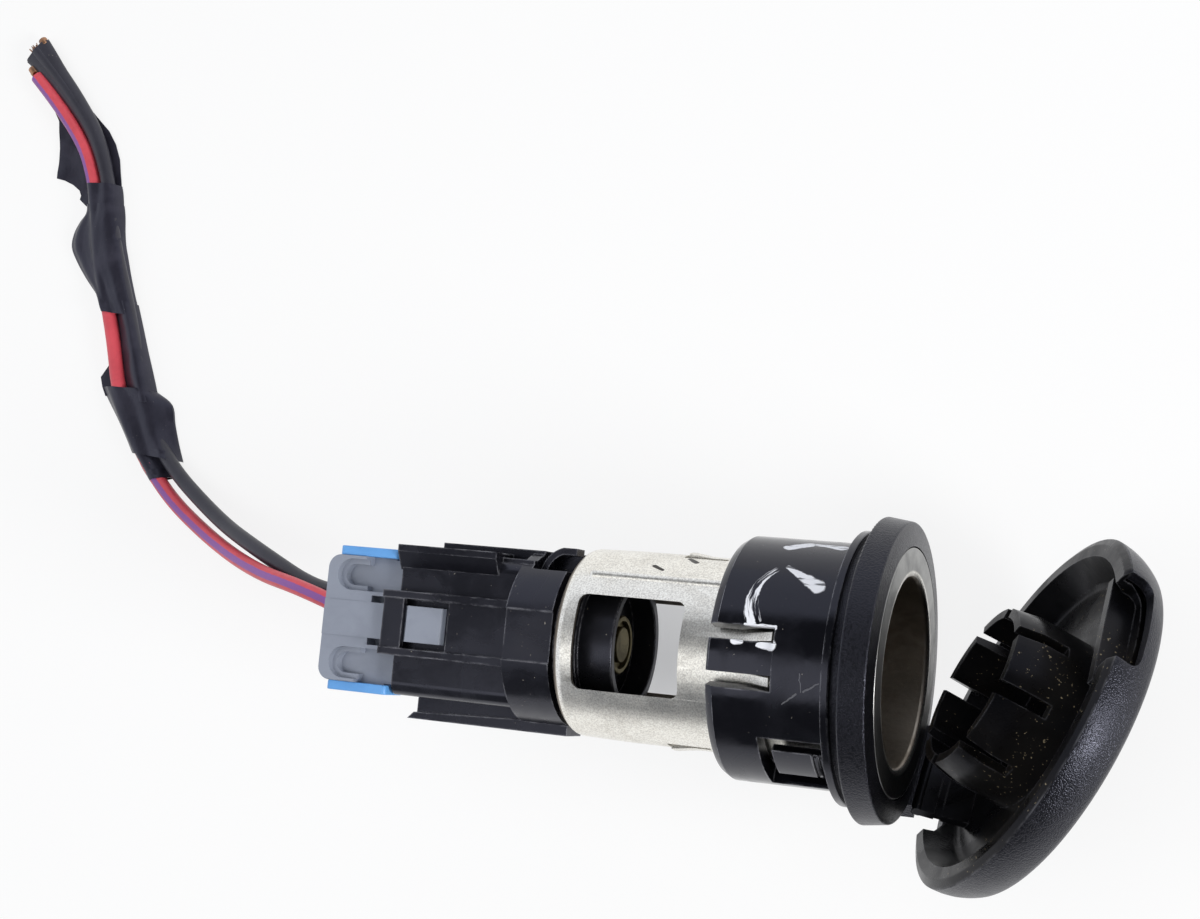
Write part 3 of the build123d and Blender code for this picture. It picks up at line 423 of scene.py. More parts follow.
def arc_stroke(shade, flat):
    """Mask of the broad arc, with the lines that bristles leave along it."""
    out = shade.vector("SUBTRACT", flat, ARC_CENTRE)
    x, y = shade.parts(out)[:2]
    off = shade.math("SUBTRACT", shade.vector("LENGTH", out), ARC_R)
    way = shade.math("ARCTAN2", y, shade.times(x, -1.0))
    half = shade.ramp(way, ARC_FROM, ARC_TO, ARC_HALF_FROM, ARC_HALF_TO)
    cover = shade.ramp(shade.math("DIVIDE", shade.math("ABSOLUTE", off), half), 0.8, 1.0, 1.0, 0.0)
    started = shade.ramp(way, ARC_FROM, ARC_FROM + 0.04)
    ended = shade.ramp(way, ARC_TO - 0.12, ARC_TO, 1.0, 0.0)
    hairs = shade.joined(shade.times(off, BRISTLES_ACROSS), way)
    lines = shade.ramp(shade.noise(hairs, 1.0, 2.0, 0.6), 0.44, 0.56)
    ends = shade.times(started, ended)
    return shade.times(shade.times(cover, lines), ends)


# Colours that the finishes lay over their own
# painted blue tint of every reflection on the black pieces and the tape
PAINTED_BLUE_SHEEN = rgb(0.78, 0.8, 1.0)
GREY_DUST = (0.2, 0.19, 0.17)
LEAD_DUST = (0.22, 0.2, 0.18)
TAPE_DUST = (0.25, 0.24, 0.22)
PALE_DUST = (0.42, 0.38, 0.31)
BROWN_DUST = (0.34, 0.28, 0.18)
# painted edge highlight colours, laid on with the edge wear
GRAIN_RUBBED_HIGHLIGHT = (0.05, 0.05, 0.055)
SATIN_RUBBED_HIGHLIGHT = (0.27, 0.27, 0.29)
SCUFFED = (0.22, 0.22, 0.23)
SCRATCHED = (0.3, 0.3, 0.31)
WHITE_PAINT = (0.86, 0.87, 0.9)
METAL_SPOT = (0.16, 0.14, 0.12)
METAL_DENT_SHADE = (0.07, 0.065, 0.06)


# Finishes
def grained_black():
    """Moulded leather grain of the cap's cover and the bezel."""
    base = (0.005, 0.005, 0.0062)
    material, shade, shader = finish("grained_black", base, 0.32, Specular_Tint=PAINTED_BLUE_SHEEN)
    place = shade.place()
    grain = shade.effect(GRAIN, Vector=place, Pebbles=5000.0)
    marks = shade.effect(SMUDGES, Vector=place, Patch=110.0)
    specks = shade.effect(DUST, Vector=place, Patch=120.0, Speck=2400.0, Cover=0.35)
    wear_and_highlight = shade.effect(EDGE_WEAR_AND_HIGHLIGHT, Vector=place)
    # painted shade: the grain's creases are coloured darker than its pebbles
    colour = shade.blend(grain["Crease_Shade"], rgb(0.006, 0.006, 0.0075), rgb(0.0028, 0.0028, 0.0034))
    # painted highlight along the edges, with their wear
    colour = shade.over(colour, wear_and_highlight["Mask"], 0.5, GRAIN_RUBBED_HIGHLIGHT)
    colour = shade.over(colour, specks["Mask"], 0.5, GREY_DUST)
    rough = shade.math("MULTIPLY_ADD", marks["Broad"], 0.07, 0.28)
    surface(shade, shader, colour, rough, grain["Height"], 0.045 * MM, 0.7)
    return material


def old_paint(shade, colour, rough, height):
    """Sleeve's colour, roughness and relief with its scratches and white daubs added."""
    flat, radius = ragged_wall(shade, 0.4 * MM)
    outside = shade.ramp(radius, SLEEVE_R - 0.75 * MM, SLEEVE_R - 0.5 * MM)
    scratch = shade.times(strokes_on(shade, flat, SLEEVE_SCRATCHES, SLEEVE_R), outside)
    hairs = shade.vector("MULTIPLY", flat, (BRISTLES_ALONG, BRISTLES_ACROSS, 0.0))
    cover = shade.ramp(shade.noise(hairs, 1.0, 2.0, 0.6), 0.34, 0.46, 0.15, 1.0)
    straight = shade.times(strokes_on(shade, flat, PAINT_STROKES, SLEEVE_R), cover)
    paint = shade.math("MAXIMUM", straight, arc_stroke(shade, flat))
    paint = shade.times(paint, outside)
    colour = shade.over(colour, scratch, 0.35, SCRATCHED)
    colour = shade.blend(paint, colour, rgb(*WHITE_PAINT))
    rough = shade.math("MULTIPLY_ADD", paint, 0.3, rough)
    height = shade.math("ADD", height, shade.math("SUBTRACT", paint, scratch))
    return colour, rough, height


def satin_black(name, base, rough, dusty, dust=PALE_DUST, painted=False, gloss=0.5, rubbed_highlight=0.75):
    """Smooth moulded black with light dust, rubbed edges with a painted edge highlight and, on the sleeve,
    old paint.
    """
    look = {"Specular_Tint": PAINTED_BLUE_SHEEN, "Specular_IOR_Level": gloss}
    material, shade, shader = finish(name, base, rough, **look)
    place = shade.place()
    along = shade.place(stretch=(0.12, 1.0, 1.0))
    marks = shade.effect(SMUDGES, Vector=place, Patch=140.0)
    specks = shade.effect(DUST, Vector=place, Patch=75.0, Speck=2300.0, Cover=dusty)
    lines = shade.effect(SCUFFS, Vector=along, Fineness=1500.0, Cover=0.3)
    wear_and_highlight = shade.effect(EDGE_WEAR_AND_HIGHLIGHT, Vector=place)
    lifted = tuple(1.6 * level + 0.002 for level in base)
    colour = shade.over(rgb(*base), marks["Broad"], 0.5, lifted)
    colour = shade.over(colour, specks["Film"], 0.02, dust)
    colour = shade.over(colour, lines["Mask"], 0.3, SCUFFED)
    # painted highlight along the edges, with their wear
    colour = shade.over(colour, wear_and_highlight["Mask"], rubbed_highlight, SATIN_RUBBED_HIGHLIGHT)
    colour = shade.over(colour, specks["Mask"], 0.8, dust)
    level = shade.math("MULTIPLY_ADD", marks["Broad"], 0.18, rough - 0.07)
    height = shade.times(marks["Fine"], 0.25)
    if painted:
        colour, level, height = old_paint(shade, colour, level, height)
    surface(shade, shader, colour, level, height, 0.06 * MM)
    return material


def plated_nickel():
    """Drawn plated shell: bright outside, greyer on the rolled lip and darkened there by painted shade,
    brown and worn in the bore.
    """
    material, shade, shader = finish("plated_nickel", (0.74, 0.73, 0.69), 0.32, Metallic=1.0)
    place = shade.place()
    flat, radius = ragged_wall(shade, 0.25 * MM)
    marks = shade.effect(SMUDGES, Vector=place, Patch=190.0)
    drawn = shade.noise(shade.place(stretch=(0.1, 1.0, 1.0)), 1900.0, 4.0, 0.6)
    pits = shade.noise(place, 3600.0, 2.0, 0.6)
    streaks = shade.place(stretch=(0.25, 1.0, 1.0))
    spots = shade.effect(SCUFFS, Vector=streaks, Fineness=700.0, Patch=160.0, Cover=0.5)
    tarnish = shade.times(marks["Broad"], shade.ramp(marks["Fine"], 0.35, 0.7))
    colour = shade.over(rgb(0.85, 0.83, 0.77), tarnish, 0.5, (0.6, 0.57, 0.51))
    colour = shade.over(colour, spots["Mask"], 0.6, METAL_SPOT)
    speckle = shade.ramp(shade.noise(place, 5200.0, 2.0, 0.6), 0.3, 0.7, 0.8, 1.24)
    colour = shade.blend(1.0, colour, speckle, "MULTIPLY")
    ahead = shade.ramp(shade.parts(flat)["X"], LIP_FROM_X, LIP_FROM_X + 0.2 * MM)
    lip = shade.times(ahead, shade.ramp(radius, LIP_INNER_R, LIP_INNER_R + 0.3 * MM))
    # the lip's satin grey, set darker still as painted shade of what it mirrors
    lip_grey_and_shade = shade.blend(marks["Broad"], rgb(0.33, 0.33, 0.32), rgb(0.24, 0.24, 0.24))
    colour = shade.blend(lip, colour, lip_grey_and_shade)
    inside = shade.ramp(radius, BORE_SEEN_R - 0.1 * MM, BORE_SEEN_R, 1.0, 0.0)
    worn = shade.blend(marks["Broad"], rgb(0.38, 0.34, 0.29), rgb(0.24, 0.2, 0.16))
    colour = shade.blend(inside, colour, worn)
    outside = shade.math("SUBTRACT", 1.0, inside)
    dents = shade.times(strokes_on(shade, flat, SHELL_DENTS, SHELL_R), outside)
    # painted shade: the dents are coloured dark
    colour = shade.blend(dents, colour, rgb(*METAL_DENT_SHADE))
    rough = shade.math("MULTIPLY_ADD", marks["Broad"], 0.1, 0.27)
    rough = shade.math("MULTIPLY_ADD", drawn, 0.1, rough)
    rough = shade.math("MULTIPLY_ADD", inside, 0.08, rough)
    height = shade.math("MULTIPLY_ADD", pits, 0.8, drawn)
    height = shade.math("MULTIPLY_ADD", dents, -4.0, height)
    surface(shade, shader, colour, rough, height, 0.025 * MM)
    return material


def bare_metal(name, colour, worn, rough):
    """Small brass, tinned or copper part."""
    material, shade, shader = finish(name, colour, rough, Metallic=1.0)
    marks = shade.effect(SMUDGES, Vector=shade.place(), Patch=420.0)
    mottled = shade.blend(marks["Broad"], rgb(*colour), rgb(*worn))
    surface(shade, shader, mottled, shade.math("MULTIPLY_ADD", marks["Fine"], 0.25, rough))
    return material


def moulded_colour(name, base, shadow, rough, dusty):
    """Coloured moulding with broad darker patches, lighter scuffs and a faint speckle of grime."""
    material, shade, shader = finish(name, base, rough)
    place = shade.place()
    along = shade.place(stretch=(0.2, 1.0, 1.0))
    marks = shade.effect(SMUDGES, Vector=place, Patch=230.0)
    specks = shade.effect(DUST, Vector=place, Patch=150.0, Speck=2600.0, Cover=dusty)
    lines = shade.effect(SCUFFS, Vector=along, Fineness=1100.0, Cover=0.35)
    worn = tuple(0.5 + 0.5 * level for level in base)
    grime = tuple(0.45 * level for level in shadow)
    colour = shade.over(rgb(*base), marks["Broad"], 0.45, shadow)
    colour = shade.over(colour, lines["Mask"], 0.3, worn)
    colour = shade.over(colour, specks["Mask"], 0.5, grime)
    level = shade.math("MULTIPLY_ADD", marks["Fine"], 0.18, rough - 0.08)
    surface(shade, shader, colour, level, marks["Fine"], 0.02 * MM, 0.4)
    return material


# Half width of a lead's stripe as a share of the way round, at the start and end of its soft edge
STRIPE_HALF = (0.075, 0.09)


def lead_cover(name, base, stripe=None):
    """Lead insulation; a stripe follows the lead's own UV map."""
    material, shade, shader = finish(name, base, 0.4)
    place = shade.place()
    marks = shade.effect(SMUDGES, Vector=place, Patch=260.0)
    specks = shade.effect(DUST, Vector=place, Patch=210.0, Speck=2200.0, Cover=0.6)
    worn = tuple(0.7 * level for level in base)
    colour = shade.over(rgb(*base), marks["Broad"], 0.5, worn)
    if stripe:
        wrap = shade.node("UVMap", uv_map="wrap")
        turn = shade.math("FRACT", shade.parts(wrap.outputs[0])["X"])
        offset = shade.math("ABSOLUTE", shade.math("SUBTRACT", turn, 0.5))
        edge = shade.math("MULTIPLY_ADD", marks["Fine"], 0.03, offset)
        band = shade.math("SUBTRACT", 1.0, shade.ramp(edge, *STRIPE_HALF))
        colour = shade.blend(band, colour, rgb(*stripe))
    colour = shade.over(colour, specks["Mask"], 0.5, LEAD_DUST)
    rough = shade.math("MULTIPLY_ADD", marks["Fine"], 0.2, 0.32)
    surface(shade, shader, colour, rough, marks["Fine"], 0.03 * MM)
    return material


def vinyl_tape():
    """Wrinkled tape with a painted faint blue sheen and pale specks."""
    base = (0.022, 0.021, 0.028)
    material, shade, shader = finish("vinyl_tape", base, 0.45, Specular_Tint=PAINTED_BLUE_SHEEN)
    place = shade.place()
    slanted = shade.place(turn=(0.0, 0.0, 0.9), stretch=(1.0, 0.3, 1.0))
    marks = shade.effect(SMUDGES, Vector=place, Patch=180.0)
    specks = shade.effect(DUST, Vector=place, Patch=160.0, Speck=1900.0, Cover=0.55)
    wrinkle = shade.noise(slanted, 520.0, 4.0, 0.6, 0.8)
    colour = shade.blend(marks["Broad"], rgb(0.016, 0.015, 0.023), rgb(0.028, 0.026, 0.038))
    colour = shade.over(colour, specks["Mask"], 0.5, TAPE_DUST)
    rough = shade.math("MULTIPLY_ADD", marks["Broad"], 0.15, 0.36)
    surface(shade, shader, colour, rough, wrinkle, 0.12 * MM)
    return material


# The cap's liner is duller than the other satin pieces, with brown dust
LINER = {"dust": BROWN_DUST, "gloss": 0.16, "rubbed_highlight": 0.25}


FINISHES = {
    "nickel": plated_nickel(),
    "sleeve_black": satin_black("sleeve_black", (0.0025, 0.0025, 0.0035), 0.17, 0.15, painted=True),
    "grained_black": grained_black(),
    "liner_black": satin_black("liner_black", (0.003, 0.003, 0.0035), 0.3, 0.95, **LINER),
    "carrier_black": satin_black("carrier_black", (0.005, 0.005, 0.006), 0.34, 0.2),
    "housing_black": satin_black("housing_black", (0.006, 0.006, 0.008), 0.26, 0.5, gloss=0.55),
    "brass": bare_metal("dull_brass", (0.24, 0.21, 0.12), (0.13, 0.11, 0.06), 0.42),
    "tin": bare_metal("tinned_alloy", (0.68, 0.68, 0.67), (0.5, 0.5, 0.49), 0.28),
    "copper": bare_metal("bare_copper", (0.55, 0.3, 0.17), (0.26, 0.15, 0.1), 0.32),
    "plug_grey": moulded_colour("plug_grey", (0.26, 0.285, 0.345), (0.2, 0.22, 0.27), 0.42, 0.35),
    "clip_blue": moulded_colour("clip_blue", (0.125, 0.37, 0.77), (0.09, 0.29, 0.66), 0.34, 0.25),
    "red_insulation": lead_cover("red_insulation", (0.7, 0.075, 0.1), (0.26, 0.09, 0.34)),
    "black_insulation": lead_cover("black_insulation", (0.027, 0.026, 0.038)),
    "tape": vinyl_tape(),
}
SLOT_OF = {row["node"]: row["material_slot"] for row in frame["record"]["subparts"]}
BODY_OF = {node: body for body, held in frame["record"]["behaviour"]["bodies"].items() for node in held}


# Pieces from the part's own solids
MERGE_GAP = 0.002 * MM
FLAT_ANGLE = radians(0.5)
KEEN_ANGLE = radians(28.0)
EDGE_STEPS = 2


def placed(name, data):
    """New object of the scene, at the origin."""
    made = bpy.data.objects.new(name, data)
    bpy.context.scene.collection.objects.link(made)
    return made


def shown_mesh(holder):
    """Plain mesh of what a helper object shows; the helper is removed."""
    bpy.context.view_layer.update()
    shown = holder.evaluated_get(bpy.context.evaluated_depsgraph_get())
    mesh = bpy.data.meshes.new_from_object(shown)
    bpy.data.objects.remove(holder)
    return mesh


def new_piece(name, mesh, body, slot, stands_for=()):
    """Object with its finish, riding on its body and standing for its nodes."""
    piece = placed(name, mesh)
    mesh.materials.clear()
    mesh.materials.append(FINISHES[slot])
    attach(piece, body)
    if stands_for:
        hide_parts(*stands_for)
    return piece


def merged_copy(node):
    """Node's mesh with its triangles joined up and flat faces made whole."""
    shape = bmesh.new()
    shape.from_mesh(nodes[node].data)
    bmesh.ops.remove_doubles(shape, verts=shape.verts, dist=MERGE_GAP)
    bmesh.ops.dissolve_limit(shape, angle_limit=FLAT_ANGLE, verts=shape.verts, edges=shape.edges)
    return shape


def smooth_mesh(shape, name, sharp=35.0):
    """Mesh of a finished shape, smooth up to an angle in degrees."""
    mesh = bpy.data.meshes.new(name)
    shape.to_mesh(mesh)
    shape.free()
    mesh.shade_smooth()
    mesh.set_sharp_from_angle(angle=radians(sharp))
    return mesh


def softened(node, edge):
    """Copy of a node with its edges rounded as moulding or pressing leaves them."""
    shape = merged_copy(node)
    worn = shape.faces.layers.float.new("worn")
    keen = [e for e in shape.edges if len(e.link_faces) == 2 and e.calc_face_angle() > KEEN_ANGLE]
    made = bmesh.ops.bevel(
        shape,
        geom=keen,
        offset=edge * MM,
        offset_type="OFFSET",
        segments=EDGE_STEPS,
        profile=0.5,
        affect="EDGES",
        clamp_overlap=True,
    )
    # the bevel faces get the edge wear and painted edge highlight
    for face in made["faces"]:
        face[worn] = 1.0
    piece = new_piece(node + "_dressed", smooth_mesh(shape, node), BODY_OF[node], SLOT_OF[node], [node])
    weights = piece.modifiers.new("flat_faces", "WEIGHTED_NORMAL")
    weights.keep_sharp = True
    return piece


# Width of each piece's rounded edges in mm
EDGES = {
    "socket_shell": 0.06,
    "mounting_sleeve": 0.1,
    "bezel_ring": 0.12,
    "cap_cover": 0.12,
    "cap_liner": 0.12,
    "contact_carrier": 0.12,
    "centre_contact": 0.08,
    "contact_rivet": 0.08,
    "positive_blade": 0.06,
    "ground_blade": 0.06,
    "positive_terminal": 0.05,
    "ground_terminal": 0.05,
    "connector_housing": 0.15,
    "plug_housing": 0.12,
    "lock_clip_upper": 0.12,
    "lock_clip_lower": 0.12,
    "red_wire_core": 0.1,
    "black_wire_core": 0.1,
}
dressed = {node: softened(node, edge) for node, edge in EDGES.items()}


# Leads
ROUTE_STEPS = 14
TEAR_SCALE = 2.3
TEAR_SEED = 4.0


def route_line(route):
    """Points along the smooth line of a route."""
    curve = bpy.data.curves.new("route", "CURVE")
    curve.dimensions = "3D"
    curve.resolution_u = ROUTE_STEPS
    spline = curve.splines.new("NURBS")
    spline.points.add(len(route) - 1)
    for point, place in zip(spline.points, route):
        point.co = (*place, 1.0)
    spline.order_u = 3
    spline.use_endpoint_u = True
    line = shown_mesh(placed("route", curve))
    points = [vertex.co.copy() for vertex in line.vertices]
    bpy.data.curves.remove(curve)
    bpy.data.meshes.remove(line)
    return points


def carried_frames(points):
    """Two cross directions at each point, carried along the line without twist."""
    side = Vector((0.0, 0.0, 1.0))
    frames = []
    for index in range(len(points)):
        ahead = points[min(index + 1, len(points) - 1)] - points[max(index - 1, 0)]
        ahead.normalize()
        side = (side - ahead * side.dot(ahead)).normalized()
        frames.append((side.copy(), ahead.cross(side)))
    return frames


def between(stops, share):
    """Value at a share of the way, straight between (share, value) stops."""
    for (start, value), (end, following) in zip(stops, stops[1:]):
        if share <= end:
            return value + (following - value) * (share - start) / (end - start)
    return stops[-1][1]


def tube_mesh(name, points, high, wide, turn=NO_TURN, torn=0.0):
    """Closed tube along a line with a UV map: across is the way round, up the way along."""
    shape = bmesh.new()
    wrap = shape.loops.layers.uv.new("wrap")
    last = len(points) - 1
    rings = []
    for row, ((up, across), point) in enumerate(zip(carried_frames(points), points)):
        share = row / last
        ring = []
        for step in range(LEAD_SIDES):
            way = 2 * pi * step / LEAD_SIDES
            place = point + between(high, share) * cos(way) * up
            place += between(wide, share) * sin(way) * across
            if row == last and torn:
                tear = noise.noise(Vector((TEAR_SCALE * cos(way), TEAR_SCALE * sin(way), TEAR_SEED)))
                place += torn * tear * up.cross(across)
            ring.append(shape.verts.new(place))
        rings.append(ring)
    for row, (ring, after) in enumerate(zip(rings, rings[1:])):
        for step in range(LEAD_SIDES):
            following = (step + 1) % LEAD_SIDES
            face = shape.faces.new((ring[step], ring[following], after[following], after[step]))
            start = step / LEAD_SIDES
            end = (step + 1) / LEAD_SIDES
            ways = (start, end, end, start)
            for loop, way, station in zip(face.loops, ways, (row, row, row + 1, row + 1)):
                share = station / last
                loop[wrap].uv = (way + between(turn, share), share)
    shape.faces.new(rings[0])
    shape.faces.new(rings[-1])
    bmesh.ops.recalc_face_normals(shape, faces=shape.faces)
    return smooth_mesh(shape, name)


def lead(name, points, slot, turn):
    """Insulated lead along its line, standing in for its node."""
    even = ((0.0, LEAD_D / 2), (1.0, LEAD_D / 2))
    mesh = tube_mesh(name, points, even, even, turn)
    made = new_piece(name + "_line", mesh, "socket", slot, [name])


# Bare strands at the cut ends
GOLDEN_ANGLE = 2.399963
STRAND_SIDES = 7
STRAND_STEPS = 3
STRAND_TAPER = 0.6
STRAND_STRETCH = (0.55, 1.15)
STRAND_SUNK = 0.3 * MM


def strand_tree():
    """Geometry nodes: tapered strands on a disc, splayed by a fixed draw."""
    tree = bpy.data.node_groups.new("strand_bundle", "GeometryNodeTree")
    shade = Shade(tree)
    inputs = {
        "Count": ("NodeSocketInt", 17),
        "Bundle Radius": ("NodeSocketFloat", 0.6 * MM),
        "Strand Radius": ("NodeSocketFloat", 0.13 * MM),
        "Length": ("NodeSocketFloat", 1.6 * MM),
        "Splay": ("NodeSocketFloat", 0.3),
        "Seed": ("NodeSocketInt", 5),
    }
    tree.interface.new_socket("Geometry", in_out="INPUT", socket_type="NodeSocketGeometry")
    for label, (kind, default) in inputs.items():
        tree.interface.new_socket(label, in_out="INPUT", socket_type=kind).default_value = default
    tree.interface.new_socket("Material", in_out="INPUT", socket_type="NodeSocketMaterial")
    tree.interface.new_socket("Geometry", in_out="OUTPUT", socket_type="NodeSocketGeometry")
    given = tree.nodes.new("NodeGroupInput").outputs
    result = tree.nodes.new("NodeGroupOutput").inputs
    index = tree.nodes.new("GeometryNodeInputIndex").outputs[0]
    share = shade.math("DIVIDE", shade.math("ADD", index, 0.5), given["Count"])
    reach = shade.times(shade.math("SQRT", share), given["Bundle Radius"])
    way = shade.times(index, GOLDEN_ANGLE)
    place = shade.joined(
        shade.times(reach, shade.math("COSINE", way)),
        shade.times(reach, shade.math("SINE", way)),
    )
    points = tree.nodes.new("GeometryNodePoints")
    shade.put(points.inputs["Count"], given["Count"])
    shade.put(points.inputs["Position"], place)
    strand = tree.nodes.new("GeometryNodeMeshCone")
    shade.put(strand.inputs["Vertices"], STRAND_SIDES)
    shade.put(strand.inputs["Side Segments"], STRAND_STEPS)
    shade.put(strand.inputs["Depth"], given["Length"])
    shade.put(strand.inputs["Radius Bottom"], given["Strand Radius"])
    shade.put(strand.inputs["Radius Top"], shade.times(given["Strand Radius"], STRAND_TAPER))
    drawn = tree.nodes.new("FunctionNodeRandomValue")
    drawn.data_type = "FLOAT_VECTOR"
    limits = [s for s in drawn.inputs if s.type == "VECTOR"]
    for socket, sign in zip(limits, (-1.0, 1.0)):
        shade.put(socket, shade.vector("MULTIPLY", (sign, sign, sign), given["Splay"]))
    shade.put(drawn.inputs["Seed"], given["Seed"])
    stretch = tree.nodes.new("FunctionNodeRandomValue")
    stretch.data_type = "FLOAT"
    limits = [s for s in stretch.inputs if s.type == "VALUE" and s.name in ("Min", "Max")]
    for socket, value in zip(limits, STRAND_STRETCH):
        shade.put(socket, value)
    shade.put(stretch.inputs["Seed"], given["Seed"])
    spread = tree.nodes.new("GeometryNodeInstanceOnPoints")
    shade.put(spread.inputs["Points"], points.outputs[0])
    shade.put(spread.inputs["Instance"], strand.outputs["Mesh"])
    shade.put(spread.inputs["Rotation"], [s for s in drawn.outputs if s.type == "VECTOR"][0])
    tall = [s for s in stretch.outputs if s.type == "VALUE"][0]
    shade.put(spread.inputs["Scale"], shade.joined(1.0, 1.0, tall))
    real = tree.nodes.new("GeometryNodeRealizeInstances")
    shade.put(real.inputs[0], spread.outputs[0])
    coated = tree.nodes.new("GeometryNodeSetMaterial")
    shade.put(coated.inputs["Geometry"], real.outputs[0])
    shade.put(coated.inputs["Material"], given["Material"])
    shade.put(result["Geometry"], coated.outputs[0])
    return tree


STRANDS = strand_tree()


def strand_bundle(name, points, **values):
    """Splayed strands standing out of a lead's cut end."""
    host = placed(name, bpy.data.meshes.new(name))
    bundle = host.modifiers.new("strands", "NODES")
    bundle.node_group = STRANDS
    sockets = STRANDS.interface.items_tree
    names = {item.name: item.identifier for item in sockets if item.in_out == "INPUT"}
    bundle[names["Material"]] = FINISHES["copper"]
    for label, value in values.items():
        bundle[names[label.replace("_", " ")]] = value
    mesh = shown_mesh(host)
    ahead = (points[-1] - points[-2]).normalized()
    start = points[-1] - ahead * STRAND_SUNK
    mesh.transform(Matrix.Translation(start) @ ahead.to_track_quat("Z", "Y").to_matrix().to_4x4())
    mesh.shade_smooth()
    return new_piece(name, mesh, "socket", "copper")


# Tape: flattened wraps over the leads
TAPE_BASE = FLOOR_Z + 0.15 * MM
TAPE_EDGE = 0.4 * MM
TAPE_T = 0.16 * MM
TAPE_STEPS = 22
TAPE_ROWS = 5
# Least height of a wrap over its base, how far its hems turn in, and how far past an edge a lead counts
TAPE_LEAST = 0.3 * MM
HEM_DEPTH = 1.4 * MM
LEAD_STRAY = 1.5 * MM
# Fine creases of the wraps, which fade towards their edges, and ripples of the loose sheets
CREASE_HEIGHT = 0.16 * MM
CREASE_SCALE = 330.0
CREASE_SEED = 1.7
EDGE_FADE = 6.0
RIPPLE_SCALE = 420.0
# Left and right edges of each wrap on the floor as (x, y) in mm, and outlines of the loose sheets
LOWER_BAND = [
    ((-119.9, 29.4), (-111.1, 29.2)),
    ((-118.9, 27.8), (-108.2, 27.4)),
    ((-116.9, 25.1), (-107.3, 24.6)),
    ((-115.2, 22.6), (-106.3, 21.8)),
    ((-113.7, 20.2), (-105.3, 19.4)),
]
LOWER_TAIL = [
    ((-113.3, 20.6), (-106.6, 20.9)),
    ((-111.8, 18.2), (-106.2, 18.7)),
    ((-109.9, 16.2), (-105.8, 17.2)),
]
LOWER_RIBBON = [
    ((-120.0, 42.1), (-115.8, 41.5)),
    ((-119.1, 38.5), (-114.5, 38.2)),
    ((-118.2, 34.9), (-113.2, 34.8)),
    ((-117.3, 31.7), (-111.9, 31.6)),
    ((-116.4, 29.2), (-110.9, 29.0)),
    ((-115.4, 27.5), (-110.4, 27.3)),
]
LOWER_FLAP = [
    (-120.5, 30.8), (-119.2, 32.8), (-116.7, 29.4), (-116.2, 28.0), (-119.3, 28.1), (-120.0, 29.4),
]
MIDDLE_BAND = [
    ((-120.9, 40.1), (-115.1, 39.6)),
    ((-122.8, 42.6), (-116.3, 42.2)),
    ((-125.1, 45.1), (-117.6, 45.6)),
    ((-127.0, 47.5), (-118.5, 48.3)),
    ((-128.2, 49.6), (-119.1, 50.1)),
    ((-128.1, 51.6), (-119.5, 52.0)),
    ((-127.3, 53.4), (-119.7, 53.5)),
    ((-126.4, 54.6), (-119.9, 54.7)),
    ((-126.2, 55.6), (-120.2, 55.9)),
]
UPPER_NECK = [
    ((-126.2, 54.6), (-120.1, 54.8)),
    ((-126.1, 57.4), (-120.6, 57.5)),
    ((-126.0, 58.7), (-121.0, 58.8)),
]
UPPER_SHEET = [
    (-134.0, 69.7), (-133.2, 68.4), (-132.4, 64.2), (-132.3, 61.9), (-132.3, 59.8), (-130.9, 59.5),
    (-129.4, 58.9), (-128.2, 58.1), (-127.8, 57.3), (-127.9, 56.7), (-126.5, 55.7), (-120.5, 55.9),
    (-121.2, 59.8), (-121.8, 62.7), (-122.8, 65.0), (-124.3, 67.0), (-126.3, 68.8), (-127.6, 69.9),
]
# Soft folds along the wraps: middle and spread as shares of the width, rise in mm
LOWER_FOLDS = [(0.16, 0.12, 0.25), (0.5, 0.16, -0.35), (0.8, 0.12, 0.15)]
RIBBON_FOLDS = [(0.85, 0.2, 0.2)]
MIDDLE_FOLDS = [(0.14, 0.12, 0.45), (0.42, 0.18, -0.35), (0.78, 0.14, 0.15)]
NECK_FOLDS = [(0.5, 0.2, -0.2)]


def smoothed(stations, times):
    """Rounded run of left and right edges between the given ones."""
    rows = [Vector((*left, *right)) for left, right in stations]
    rows = [2 * rows[0] - rows[1], *rows, 2 * rows[-1] - rows[-2]]
    made = []
    for a, b, c, d in zip(rows, rows[1:], rows[2:], rows[3:]):
        for step in range(times):
            t = step / times
            bend = (2 * a - 5 * b + 4 * c - d) * t * t + (3 * b - a - 3 * c + d) * t ** 3
            made.append(0.5 * (2 * b + (c - a) * t + bend))
    made.append(rows[-2])
    return [(Vector((*row[:2], 0.0)) * MM, Vector((*row[2:], 0.0)) * MM) for row in made]


def crossing(line, left, right):
    """Where a lead passes a station: the way across from its left edge, and its height."""
    across = (right - left).normalized()
    ahead = Vector((-across.y, across.x, 0.0))
    found = None
    for before, after in zip(line, line[1:]):
        start = (before - left).dot(ahead)
        end = (after - left).dot(ahead)
        if start * end <= 0 and start != end:
            place = before.lerp(after, start / (start - end))
            way = (place - left).dot(across)
            if -LEAD_STRAY < way < (right - left).length + LEAD_STRAY:
                found = (way, place.z)
    return found


